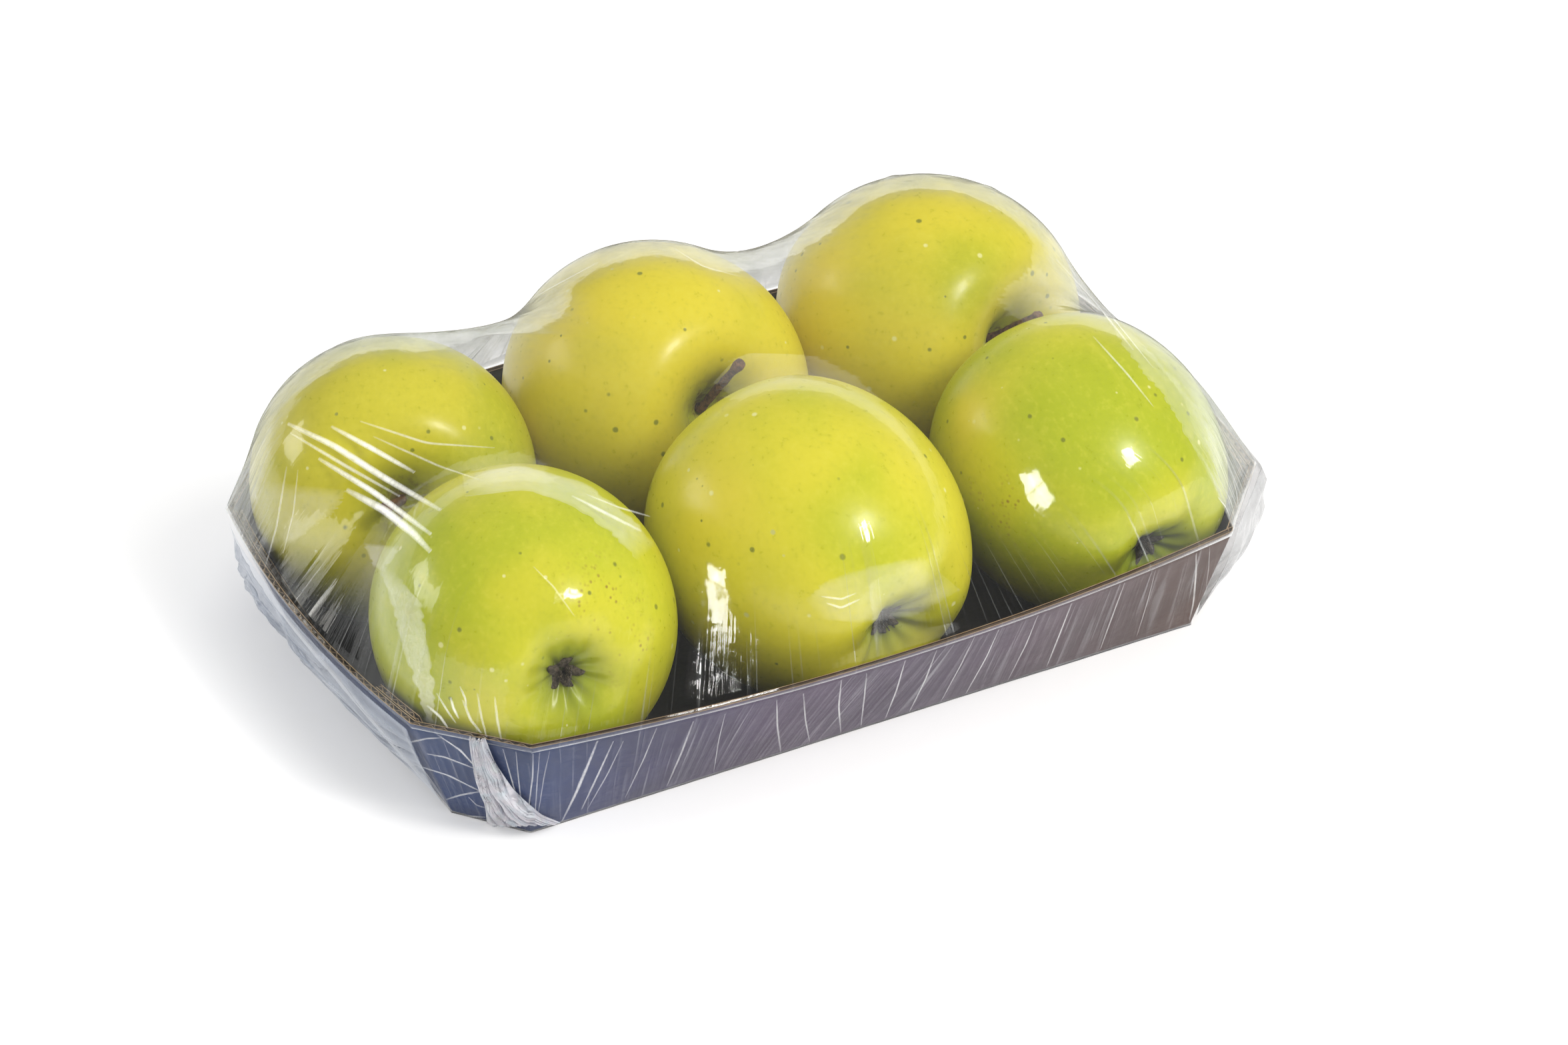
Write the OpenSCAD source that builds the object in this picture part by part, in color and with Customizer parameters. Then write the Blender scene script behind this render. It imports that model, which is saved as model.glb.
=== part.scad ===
// Six apples in a folded board tray, overwrapped in clear stretch film.
// Millimetres, +X along the tray, -Y towards its front, +Z up, origin under the middle of the pack.

/* [Fruit] */
// Mean diameter of an apple across its axis
apple_d = 72.8; // [60:0.2:90]
// Least room between neighbouring apples
apple_gap = 0.6; // [0.4:0.1:3]
// Room between the fruit and the board or film that it lies on
fruit_clear = 0.35; // [0.3:0.05:1]
// Depth of the dip round the stem, as a share of the radius
stem_dip_share = 0.5; // [0.3:0.01:0.55]
// Half width of the dip round the stem, in degrees from the axis
stem_dip_angle = 23; // [15:1:28]
// Depth of the dip round the calyx, as a share of the radius
eye_dip_share = 0.3; // [0.2:0.01:0.4]
// Half width of the dip round the calyx, in degrees from the axis
eye_dip_angle = 19.5; // [14:0.5:24]
// How much wider the stem end is than the calyx end, as a share of the radius
taper_share = 0.04; // [0:0.01:0.08]

/* [Stem, calyx and pips] */
// Diameter of a stem
stem_d = 2.4; // [1.6:0.1:3.2]
// Diameter of the knob at a stem's end
stem_knob_d = 3.8; // [2.6:0.1:5]
// Length of the knob at a stem's end
stem_knob_l = 2.4; // [1.5:0.1:4]
// How deep a stem sits in the flesh
stem_seat = 3; // [1.5:0.5:5]
// Room round a stem in its socket
stem_fit = 0.15; // [0.05:0.05:0.3]
// Diameter of the calyx's dry centre
eye_d = 4; // [3:0.5:6]
// Height of the calyx's dry centre
eye_h = 1.2; // [0.8:0.1:2]
// Length of a sepal
sepal_l = 5.2; // [3:0.1:7]
// Width of a sepal where it starts
sepal_w = 2; // [1:0.1:3]
// Angle of a sepal from the apple's axis
sepal_angle = 38; // [20:1:45]
// Diameter of a seed cell
cell_d = 6.2; // [4.5:0.1:7]
// Length of a seed cell
cell_l = 15; // [10:0.5:20]
// Distance of a seed cell's middle from the apple's axis
cell_place = 5.8; // [5.4:0.1:7]
// Diameter of the hollow that joins the cells
core_d = 6.6; // [5.8:0.1:7]
// Diameter of the tube from the calyx to the core
eye_tube_d = 2.4; // [1.5:0.1:3.5]
// Widest diameter of a pip
pip_d = 3.8; // [2.5:0.1:4.2]
// Length of a pip
pip_l = 7; // [5:0.5:9]
// Room between a pip and its cell
pip_clear = 0.3; // [0.1:0.05:0.5]

/* [Tray] */
// Thickness of the board
board_t = 1.5; // [0.8:0.1:3]
// Height of the rim above the surface that the pack stands on
rim_z = 32.7; // [24:0.1:45]
// Room for the fruit at each end of the rim
end_room = 4.9; // [4:0.1:15]
// Room for the fruit at each side of the rim
side_room = 0.6; // [0.2:0.1:10]
// How far each end wall leans out
end_flare = 12; // [8:0.5:20]
// How far each long wall leans out
side_flare = 11; // [8:0.5:18]
// Corner cut at the rim, along the tray
rim_cut_x = 20.4; // [15:0.2:26]
// Corner cut at the rim, across the tray
rim_cut_y = 22.4; // [16:0.2:26]
// Corner cut at the base, along the tray
base_cut_x = 12.6; // [8:0.2:16]
// Corner cut at the base, across the tray
base_cut_y = 16.2; // [10:0.2:19]
// How far the front wall bows out at its rim
bow_front = 8.2; // [5:0.1:14]
// How far the back wall bows out at its rim
bow_back = 5.5; // [4:0.1:12]
// How far each end wall bows out at its rim
bow_end = 4.4; // [2:0.1:10]
// Length of the front glue tabs
tab_front_l = 17; // [8:1:19]
// Length of the back glue tabs
tab_back_l = 20; // [8:1:24]
// Gap left at each crease
crease_gap = 0.12; // [0.05:0.01:0.3]
// Gap left at each glue line
glue_gap = 0.28; // [0.1:0.02:0.5]

/* [Film] */
// Thickness that stands for the film
film_t = 0.3; // [0.2:0.05:0.6]
// Room between the film and what it covers
film_gap = 0.35; // [0.3:0.05:1]
// Height of the film's turned-down edge at the rim
lip_h = 1.6; // [1:0.1:4]
// Gap along the line where the film is cut open
cut_gap = 0.4; // [0.3:0.1:2]
// Length of the end folds under the base
fold_l = 46; // [20:1:70]
// Thickness of the bunch at the front left foot
gather_d = 5; // [3:0.5:7]
// How far the loose tail stands out at the front right corner
tail_out = 6.5; // [3:0.5:10]

/* [Hidden] */

$fn = 48;
overrun = 0.5;

// Places in the tray, three to a row
FRONT_LEFT = 0;
FRONT_MIDDLE = 1;
FRONT_RIGHT = 2;
BACK_LEFT = 3;
BACK_MIDDLE = 4;
BACK_RIGHT = 5;

// The fruit. Each apple lies on its side: its size, its length along the axis, where it lies in
// pitches, the way its stem end points from +X, and how far the stem end is raised.
radius_shares = [0.99, 1.03, 0.96, 0.965, 1.024, 1.02];
length_shares = [1.14, 1.15, 1.16, 1.05, 1.10, 1.11];
place_x_shares = [-1.0455, -0.03, 0.996, -1.042, -0.057, 0.962];
place_y_shares = [-0.476, -0.533, -0.521, 0.518, 0.546, 0.496];
headings = [82, 98, 94, -109, -85, -72];
tilts = [-8, 12, 15, 19, 17, 12];
// The stems: length past the flesh, lean from the axis, and the way they lean
stem_l_shares = [0.24, 0.26, 0.24, 0.45, 0.57, 0.46];
stem_leans = [12, 15, 18, 20, 42, 30];
stem_turns = [200, 120, 60, 250, 160, 150];
profile_step = 5;
pitch = apple_d + apple_gap;

// The tray, worked out from the fruit it holds
rim_hx = 3 * pitch / 2 + end_room;
rim_hy = pitch + side_room;
base_hx = rim_hx - end_flare;
base_hy = rim_hy - side_flare;
tray_z = 2 * film_t;
wall_h = rim_z - tray_z;
wall_t = board_t * norm([side_flare, wall_h]) / wall_h;
floor_z = tray_z + board_t;
tab_foot_share = (board_t + crease_gap) / wall_h;

// Sides of the tray, anticlockwise from above
FRONT = 0;
CORNER_FR = 1;
RIGHT = 2;
CORNER_BR = 3;
BACK = 4;
CORNER_BL = 5;
LEFT = 6;
CORNER_FL = 7;
bows = [bow_front, 0, bow_end, 0, bow_back, 0, bow_end, 0];
outward = [[0, -1], [0, 0], [1, 0], [0, 0], [0, 1], [0, 0], [-1, 0], [0, 0]];
side_steps = [12, 3, 7, 3, 12, 3, 7, 3];

// The film over the fruit: rings out from the middle, closer together towards the rim, how often
// the net is drawn tight, and the room that flat facets need over round fruit
film_rings = 11;
ring_power = 1.7;
film_passes = 220;
start_share = 0.75;
facet_room = pow(2 * rim_hx / side_steps[FRONT], 2) / (6 * apple_d);
film_rise = fruit_clear + facet_room;
film_drop = 1.6 * film_t;

function mix(a, b, t) = a + (b - a) * t;

// The eight corners of a board outline, half sizes hx and hy with cuts cx and cy, drawn in by d
function eight(hx, hy, cx, cy, d) =
    let (
        slant = norm([cx, cy]),
        reach = cy * (hx - cx) + cx * hy - slant * d,
        x = hx - d,
        y = hy - d,
        xc = (reach - cx * y) / cy,
        yc = (reach - cy * x) / cx
    )
    [[-xc, -y], [xc, -y], [x, -yc], [x, yc], [xc, y], [-xc, y], [-x, yc], [-x, -yc]];

// The same outline at a share v of the wall's height
function outline(v, d) =
    eight(
        mix(base_hx, rim_hx, v), mix(base_hy, rim_hy, v),
        mix(base_cut_x, rim_cut_x, v), mix(base_cut_y, rim_cut_y, v), d
    );

// A point on a side: u along it, v up it, drawn in by d
function wall_pt(side, u, v, d) =
    let (
        o = outline(v, d),
        p = mix(o[side], o[(side + 1) % 8], u) + outward[side] * bows[side] * v * 4 * u * (1 - u)
    )
    [p[0], p[1], tray_z + v * wall_h];

function side_l(side) = norm(wall_pt(side, 1, 1, 0) - wall_pt(side, 0, 1, 0));

// A solid through a list of sections with as many points each, up one face and down the other;
// a ring joins the last to the first. Each facet is split along its outer diagonal.
function outer(p) = norm([p[0], p[1]]);
module loft(sections, ring = false) {
    m = len(sections[0]);
    n = len(sections);
    points = [for (s = sections) each s];
    sides = [
        for (i = [0 : (ring ? n : n - 1) - 1], j = [0 : m - 1])
            let (a = i * m + j, b = i * m + (j + 1) % m, k = (i + 1) % n * m, c = k + (j + 1) % m, d = k + j)
            each outer(points[a] + points[c]) > outer(points[b] + points[d])
                ? [[a, b, c], [a, c, d]]
                : [[a, b, d], [b, c, d]]
    ];
    caps = ring ? [] : [
        for (j = [0 : m / 2 - 2])
            let (a = j, b = j + 1, c = m - 2 - j, d = m - 1 - j, k = (n - 1) * m)
            each [[a, c, b], [a, d, c], [k + a, k + b, k + c], [k + a, k + c, k + d]]
    ];
    polyhedron(points = points, faces = concat(sides, caps), convexity = 6);
}

// A section of a panel at one place along a side, between two depths
panel_rows = 3;
function strip(side, u, d_out, d_in, v0, v1) = concat(
    [for (k = [0 : panel_rows]) wall_pt(side, u, mix(v0, v1, k / panel_rows), d_in)],
    [for (k = [panel_rows : -1 : 0]) wall_pt(side, u, mix(v0, v1, k / panel_rows), d_out)]
);

// One panel of board: part of a side, between two depths
module panel(side, steps, d_out, d_in, u0, u1, v0, v1) {
    loft([for (i = [0 : steps]) strip(side, mix(u0, u1, i / steps), d_out, d_in, v0, v1)]);
}

module tray_panel(side) {
    crease = crease_gap / side_l(side);
    color("#45414a") panel(side, side_steps[side], 0, wall_t, crease, 1 - crease, 0, 1);
}

// A glue tab inside an end wall, from the crease at one end of that wall
module tab(side, length, at_end) {
    crease = 2 * crease_gap / side_l(side);
    share = length / side_l(side);
    u0 = at_end ? 1 - share : crease;
    u1 = at_end ? 1 - crease : share;
    d = wall_t + glue_gap;
    color("#2e2b30") panel(side, 4, d, d + wall_t, u0, u1, tab_foot_share, 1);
}

module tray_base() {
    color("#2e2b30")
        translate([0, 0, tray_z])
            linear_extrude(board_t)
                polygon(outline(0, wall_t + crease_gap));
}

// Distance of an apple's skin from its middle, at an angle t from the stem
function skin_r(n, t) =
    apple_d / 2 * radius_shares[n]
    * (1 - stem_dip_share * exp(-pow(t / stem_dip_angle, 2))
         - eye_dip_share * exp(-pow((180 - t) / eye_dip_angle, 2))
         + taper_share * cos(t));
function skin_pt(n, t) = [skin_r(n, t) * sin(t), length_shares[n] * skin_r(n, t) * cos(t)];
function skin(n) = [for (t = [0 : profile_step : 180]) skin_pt(n, t)];
function stem_foot(n) = skin_pt(n, 0)[1];
function eye_foot(n) = skin_pt(n, 180)[1];

// An apple's middle: it rests on its lowest point
function rest_h(n) = max([for (p = skin(n)) p[0] * cos(tilts[n]) - p[1] * sin(tilts[n])]);
middles = [
    for (n = [FRONT_LEFT : BACK_RIGHT])
        [place_x_shares[n] * pitch, place_y_shares[n] * pitch, floor_z + fruit_clear + rest_h(n)]
];
axes = [
    for (n = [FRONT_LEFT : BACK_RIGHT])
        [cos(tilts[n]) * cos(headings[n]), cos(tilts[n]) * sin(headings[n]), sin(tilts[n])]
];

module lay(n) {
    translate(middles[n]) rotate([0, 90 - tilts[n], headings[n]]) children();
}

// A spindle along Z: a straight middle with a cone at each end
module spindle(d, l) {
    cone = l / 3;
    translate([0, 0, -l / 2]) cylinder(d1 = 0, d2 = d, h = cone);
    translate([0, 0, -l / 2 + cone]) cylinder(d = d, h = cone);
    translate([0, 0, l / 2 - cone]) cylinder(d1 = d, d2 = 0, h = cone);
}

module round_core(n) {
    for (i = [0 : 4])
        rotate([0, 0, 72 * i]) translate([n, 0, 0]) children();
}

module apple(n) {
    color("#c9c52f")
        lay(n)
            difference() {
                rotate_extrude() polygon(skin(n));
                translate([0, 0, stem_foot(n) - stem_seat])
                    cylinder(d = stem_d + 2 * stem_fit, h = stem_seat + overrun);
                round_core(cell_place) spindle(cell_d, cell_l);
                translate([0, 0, -cell_l / 6]) cylinder(d = core_d, h = cell_l / 3);
                translate([0, 0, eye_foot(n) - overrun])
                    cylinder(d = eye_tube_d, h = -eye_foot(n) + overrun);
            }
}

module stem(n) {
    length = stem_l_shares[n] * apple_d / 2;
    start = stem_seat - stem_fit;
    shaft_r = 0.46 * stem_d;
    knob_r = stem_knob_d / 2;
    color("#5b3a22")
        lay(n)
            translate([0, 0, stem_foot(n)]) {
                translate([0, 0, -start]) cylinder(r = shaft_r, h = start + stem_d / 2);
                translate([0, 0, stem_d / 2]) {
                    sphere(d = stem_d);
                    rotate([0, 0, stem_turns[n]])
                        rotate([0, stem_leans[n], 0])
                            rotate_extrude()
                                polygon([
                                    [0, 0], [shaft_r, 0],
                                    [shaft_r, length - stem_knob_l],
                                    [knob_r, length - stem_knob_l / 3],
                                    [0.8 * knob_r, length],
                                    [0, length]
                                ]);
                }
            }
}

module calyx(n) {
    color("#3d3526")
        lay(n)
            translate([0, 0, eye_foot(n) - fruit_clear - eye_h / 3])
                mirror([0, 0, 1]) {
                    cylinder(d1 = eye_d / 2, d2 = eye_d, h = eye_h, $fn = 10);
                    round_core(eye_d / 4)
                        translate([0, 0, eye_h / 2])
                            rotate([0, sepal_angle, 0])
                                cylinder(d1 = sepal_w, d2 = sepal_w / 4, h = sepal_l, $fn = 6);
                }
}

module pips(n) {
    shift = (cell_d - pip_d) / 2 - pip_clear;
    color("#4a2a18")
        lay(n)
            round_core(cell_place + shift) {
                translate([0, 0, -pip_l / 4])
                    cylinder(d1 = pip_d, d2 = pip_d / 5, h = 3 * pip_l / 4);
                translate([0, 0, -pip_l / 2])
                    cylinder(d1 = pip_d / 3, d2 = pip_d, h = pip_l / 4);
            }
}

// The film over the fruit.
// Where round the rim the columns of its net stand, and the net's plan
film_columns = [for (s = [FRONT : CORNER_FL], i = [0 : side_steps[s] - 1]) [s, i / side_steps[s]]];
function rim_pt(c, d) = wall_pt(film_columns[c][0], film_columns[c][1], 1, d);
function ring_share(j) = 1 - pow(1 - j / film_rings, ring_power);
function net_xy(j, c) = let (p = rim_pt(c, -film_gap)) [p[0], p[1]] * ring_share(j);

// Height of an apple's top, with the film's room on it, over a place in plan
function inside(n, p, room) =
    let (
        q = p - middles[n],
        a = q * axes[n],
        h = a / length_shares[n],
        w = sqrt(max(0, q * q - a * a)),
        r = norm([h, w])
    )
    r < skin_r(n, atan2(w, h)) + room;
function climb(n, xy, low, high, k) =
    k == 0 ? high
    : let (z = (low + high) / 2)
      inside(n, [xy[0], xy[1], z], film_rise) ? climb(n, xy, z, high, k - 1) : climb(n, xy, low, z, k - 1);
function top_over(n, xy) =
    let (m = middles[n])
    inside(n, [xy[0], xy[1], m[2]], film_rise) ? climb(n, xy, m[2], m[2] + apple_d, 12) : 0;
function held_up(xy) = max([for (n = [FRONT_LEFT : BACK_RIGHT]) top_over(n, xy)]);

// One pass of drawing the net tight: each knot goes to the mean of its four neighbours, which count
// by how wide and short the film between them is, unless an apple holds it higher
function pull(a, b, across, z) = let (w = across / max(norm(a - b), film_t)) [w, w * z];
function tighten(z, plan, held) =
    [
        for (j = [0 : film_rings])
            j == film_rings ? z[j]
            : j == 0 ? [for (c = z[0]) max(held[0][0], z[1] * [for (k = z[1]) 1] / len(z[1]))]
            : [
                for (c = [0 : len(z[j]) - 1])
                    let (
                        m = len(z[j]),
                        l = (c + m - 1) % m,
                        r = (c + 1) % m,
                        p = plan[j][c],
                        wide = norm(plan[j][l] - plan[j][r]),
                        deep = norm(plan[j - 1][c] - plan[j + 1][c]),
                        sum = pull(p, plan[j - 1][c], wide, z[j - 1][c])
                            + pull(p, plan[j + 1][c], wide, z[j + 1][c])
                            + pull(p, plan[j][l], deep, z[j][l])
                            + pull(p, plan[j][r], deep, z[j][r])
                    )
                    max(held[j][c], sum[1] / sum[0])
            ]
    ];
function drawn(z, plan, held, k) = k == 0 ? z : drawn(tighten(z, plan, held), plan, held, k - 1);

// A knot is then raised where the middle of a straight edge to it would touch the fruit
function short_by(z, plan, j, c, nj, nc) =
    held_up((plan[j][c] + plan[nj][nc]) / 2) + film_drop - (z[j][c] + z[nj][nc]) / 2;
function raised(z, plan) =
    [
        for (j = [0 : film_rings])
            j == 0 || j == film_rings ? z[j]
            : [
                for (c = [0 : len(z[j]) - 1])
                    let (
                        m = len(z[j]),
                        l = (c + m - 1) % m,
                        r = (c + 1) % m,
                        k = j + 1 == film_rings ? 2 : 1
                    )
                    z[j][c] + max([
                        0,
                        short_by(z, plan, j, c, j, l), short_by(z, plan, j, c, j, r),
                        short_by(z, plan, j, c, j - 1, c), k * short_by(z, plan, j, c, j + 1, c),
                        short_by(z, plan, j, c, j - 1, l), short_by(z, plan, j, c, j - 1, r),
                        k * short_by(z, plan, j, c, j + 1, l), k * short_by(z, plan, j, c, j + 1, r)
                    ])
            ]
    ];

module film_top() {
    m = len(film_columns);
    rim_top = rim_z + film_gap + film_t;
    plan = [for (j = [0 : film_rings]) [for (c = [0 : m - 1]) net_xy(j, c)]];
    held = [for (j = [0 : film_rings]) [for (c = [0 : m - 1]) held_up(plan[j][c]) + film_drop]];
    crown = max([for (row = held) max(row)]);
    start = [
        for (j = [0 : film_rings])
            [
                for (c = [0 : m - 1])
                    j == film_rings ? rim_top : max(held[j][c], mix(rim_top, crown, start_share))
            ]
    ];
    z = raised(drawn(start, plan, held, film_passes), plan);
    over = [for (j = [1 : film_rings - 1]) [for (c = [0 : m - 1]) [plan[j][c][0], plan[j][c][1], z[j][c]]]];
    under = [for (row = over) [for (p = row) p - [0, 0, film_drop]]];
    edge = [
        [for (c = [0 : m - 1]) let (p = rim_pt(c, -film_gap - film_t)) [p[0], p[1], rim_top]],
        [for (c = [0 : m - 1]) let (p = rim_pt(c, -film_gap - film_t)) [p[0], p[1], rim_z - lip_h]],
        [for (c = [0 : m - 1]) let (p = rim_pt(c, -film_gap)) [p[0], p[1], rim_z - lip_h]],
        [for (c = [0 : m - 1]) let (p = rim_pt(c, -film_gap)) [p[0], p[1], rim_z + film_gap]]
    ];
    rows = concat(over, edge, [for (j = [film_rings - 2 : -1 : 0]) under[j]]);
    n = len(rows);
    points = concat([[0, 0, z[0][0]], [0, 0, z[0][0] - film_drop]], [for (row = rows) each row]);
    fans = [
        for (c = [0 : m - 1])
            each [[0, 2 + (c + 1) % m, 2 + c], [1, 2 + (n - 1) * m + c, 2 + (n - 1) * m + (c + 1) % m]]
    ];
    bands = [
        for (i = [0 : n - 2], c = [0 : m - 1])
            let (a = 2 + i * m + c, b = 2 + i * m + (c + 1) % m)
            each points[a][2] + points[b + m][2] > points[b][2] + points[a + m][2]
                ? [[a, b, b + m], [a, b + m, a + m]]
                : [[a, b, a + m], [b, b + m, a + m]]
    ];
    color("#dfe6ea", 0.35) polyhedron(points = points, faces = concat(fans, bands), convexity = 8);
}

// The film down the walls and under the base
skin_in = -film_gap;
skin_out = -film_gap - film_t;
skirt_foot_share = (film_t - tray_z) / wall_h;
skirt_top_share = (rim_z - lip_h - cut_gap - tray_z) / wall_h;

module film_skirt() {
    color("#dfe6ea", 0.35)
        loft(
            [for (c = film_columns) strip(c[0], c[1], skin_out, skin_in, skirt_foot_share, skirt_top_share)],
            ring = true
        );
}

module film_underside() {
    color("#dfe6ea", 0.35)
        linear_extrude(film_t)
            polygon(outline(skirt_foot_share, skin_out));
}

// An end fold between base and underside, narrowing towards the middle of the pack
module film_fold(way) {
    o = outline(0, wall_t);
    tip_y = o[3][1] / 2;
    color("#dfe6ea", 0.35)
        translate([0, 0, film_t])
            linear_extrude(film_t)
                scale(way)
                    polygon([
                        o[2], o[3], o[4],
                        [o[4][0] - fold_l / 2, o[4][1]],
                        [base_hx - fold_l, tip_y], [base_hx - fold_l, -tip_y],
                        [o[1][0] - fold_l / 2, o[1][1]],
                        o[1]
                    ]);
}

// Places for the bunch on the front left corner panel: along it, up it, and its thickness
gather_u_shares = [0.62, 0.97, 0.9, 0.55];
gather_v_shares = [0.12, 0.12, 0.5, 0.72];
gather_d_shares = [1, 0.9, 0.6, 0.3];

module film_gather() {
    color("#eef2f4")
        hull()
            for (i = [0 : len(gather_u_shares) - 1])
                let (d = gather_d * gather_d_shares[i])
                translate(wall_pt(CORNER_FL, gather_u_shares[i], gather_v_shares[i], skin_out - cut_gap - d / 2))
                    sphere(d = d, $fn = 16);
}

// Loose film outside a wall. Up the wall, it stands out by a share of its full reach
loose_v_shares = [0.06, 0.26, 0.5, 0.74, 0.9];
loose_out_shares = [0, 0.7, 1, 0.75, 0];

module loose_film(columns, reaches) {
    rows = len(loose_v_shares);
    color("#dfe6ea", 0.35)
        loft([
            for (i = [0 : len(columns) - 1])
                let (c = columns[i])
                concat(
                    [for (j = [0 : rows - 1])
                        wall_pt(c[0], c[1], loose_v_shares[j],
                            skin_out - cut_gap - reaches[i] * loose_out_shares[j])],
                    [for (j = [rows - 1 : -1 : 0])
                        wall_pt(c[0], c[1], loose_v_shares[j],
                            skin_out - cut_gap - film_t - reaches[i] * loose_out_shares[j])]
                )
        ]);
}

tail_shares = [0.15, 0.6, 1, 0.9, 0.6, 0.15];
module film_tail_right() {
    loose_film(
        [[CORNER_FR, 0.2], [CORNER_FR, 0.6], [CORNER_FR, 1], [RIGHT, 0.05], [RIGHT, 0.1], [RIGHT, 0.16]],
        tail_shares * tail_out
    );
}

flap_steps = 10;
module film_flap_left() {
    loose_film(
        [for (i = [0 : flap_steps]) [LEFT, mix(0.06, 0.94, i / flap_steps)]],
        [for (i = [0 : flap_steps]) end_flare / 2 * pow(sin(180 * i / flap_steps), 0.5)]
    );
}

tray_base();
tray_panel(FRONT);  // wall_front
tray_panel(BACK);  // wall_back
tray_panel(LEFT);  // wall_left
tray_panel(RIGHT);  // wall_right
tray_panel(CORNER_FL);  // corner_front_left
tray_panel(CORNER_FR);  // corner_front_right
tray_panel(CORNER_BL);  // corner_back_left
tray_panel(CORNER_BR);  // corner_back_right
tab(LEFT, tab_front_l, true);  // tab_front_left
tab(RIGHT, tab_front_l, false);  // tab_front_right
tab(LEFT, tab_back_l, false);  // tab_back_left
tab(RIGHT, tab_back_l, true);  // tab_back_right
apple(FRONT_LEFT);  // apple_front_left
apple(FRONT_MIDDLE);  // apple_front_middle
apple(FRONT_RIGHT);  // apple_front_right
apple(BACK_LEFT);  // apple_back_left
apple(BACK_MIDDLE);  // apple_back_middle
apple(BACK_RIGHT);  // apple_back_right
stem(FRONT_LEFT);  // stem_front_left
stem(FRONT_MIDDLE);  // stem_front_middle
stem(FRONT_RIGHT);  // stem_front_right
stem(BACK_LEFT);  // stem_back_left
stem(BACK_MIDDLE);  // stem_back_middle
stem(BACK_RIGHT);  // stem_back_right
calyx(FRONT_LEFT);  // calyx_front_left
calyx(FRONT_MIDDLE);  // calyx_front_middle
calyx(FRONT_RIGHT);  // calyx_front_right
calyx(BACK_LEFT);  // calyx_back_left
calyx(BACK_MIDDLE);  // calyx_back_middle
calyx(BACK_RIGHT);  // calyx_back_right
pips(FRONT_LEFT);  // pips_front_left
pips(FRONT_MIDDLE);  // pips_front_middle
pips(FRONT_RIGHT);  // pips_front_right
pips(BACK_LEFT);  // pips_back_left
pips(BACK_MIDDLE);  // pips_back_middle
pips(BACK_RIGHT);  // pips_back_right
film_top();
film_skirt();
film_underside();
film_fold([-1, 1]);  // film_fold_left
film_fold([1, 1]);  // film_fold_right
film_gather();
film_tail_right();
film_flap_left();
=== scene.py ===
"""Six apples in a folded tray of corrugated board, overwrapped in clear stretch film."""
import math

import bpy
import numpy as np
from mathutils import Matrix, Vector
from mathutils.bvhtree import BVHTree


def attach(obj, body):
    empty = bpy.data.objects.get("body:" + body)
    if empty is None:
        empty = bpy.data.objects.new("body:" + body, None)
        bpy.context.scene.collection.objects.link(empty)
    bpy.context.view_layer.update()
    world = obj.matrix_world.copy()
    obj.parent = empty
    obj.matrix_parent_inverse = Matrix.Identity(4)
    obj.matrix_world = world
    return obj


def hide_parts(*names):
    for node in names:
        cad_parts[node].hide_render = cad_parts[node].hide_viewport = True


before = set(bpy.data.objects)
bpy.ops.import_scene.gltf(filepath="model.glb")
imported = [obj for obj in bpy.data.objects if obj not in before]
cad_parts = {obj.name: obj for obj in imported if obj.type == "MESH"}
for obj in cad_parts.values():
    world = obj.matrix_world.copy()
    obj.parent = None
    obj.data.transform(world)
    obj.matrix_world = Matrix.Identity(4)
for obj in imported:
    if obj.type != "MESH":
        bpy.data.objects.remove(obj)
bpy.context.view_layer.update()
MM = 0.001

# The tray in millimetres: half sizes at the rim and the base, corner cuts, bows of the walls
RIM = (115.0, 74.0, 20.4, 22.4)
BASE = (103.0, 63.0, 12.6, 16.2)
RIM_Z = 32.7
TRAY_Z = 0.6
BOARD = 1.5
WALL = 1.58
FRONT, CORNER_FR, RIGHT, CORNER_BR, BACK, CORNER_BL, LEFT, CORNER_FL = range(8)
BOWS = [8.2, 0, 4.4, 0, 5.5, 0, 4.4, 0]
OUTWARD = np.array([[0, -1], [0, 0], [1, 0], [0, 0], [0, 1], [0, 0], [-1, 0], [0, 0]], float)
FLUTE = 3.2

# The fruit: place, radius, length share, heading of the stem end, its tilt, and the stem's length,
# lean and turn
PITCH = 73.4
FLOOR = TRAY_Z + BOARD + 0.35
MEAN_RADIUS = 36.4
PLACES = ["front_left", "front_middle", "front_right", "back_left", "back_middle", "back_right"]
RADII = [MEAN_RADIUS * s for s in (0.99, 1.03, 0.96, 0.965, 1.024, 1.02)]
LENGTHS = [1.14, 1.15, 1.16, 1.05, 1.10, 1.11]
PLACE_X = [PITCH * s for s in (-1.0455, -0.03, 0.996, -1.042, -0.057, 0.962)]
PLACE_Y = [PITCH * s for s in (-0.476, -0.533, -0.521, 0.518, 0.546, 0.496)]
HEADINGS = [82, 98, 94, -109, -85, -72]
TILTS = [-8, 12, 15, 19, 17, 12]
STEMS = [(9, 12, 200), (9.5, 15, 120), (9, 18, 60), (16.4, 20, 250), (20.8, 42, 160), (16.8, 30, 150)]

# The camera that the photograph was taken with
TARGET = np.array([10.385, -1.576, 20.0])
AZIMUTH, ELEVATION, ROLL = (math.radians(v) for v in (-28.09, 33.47, -0.33))
DISTANCE, FOCAL_PX, FRAME_PX = 1698.0, 10364.0, (2352, 1568)


# Plain geometry helpers
def lerp(a, b, t):
    return a + (b - a) * t


def unit(v):
    return v / np.maximum(np.linalg.norm(v, axis=-1, keepdims=True), 1e-9)


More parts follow.
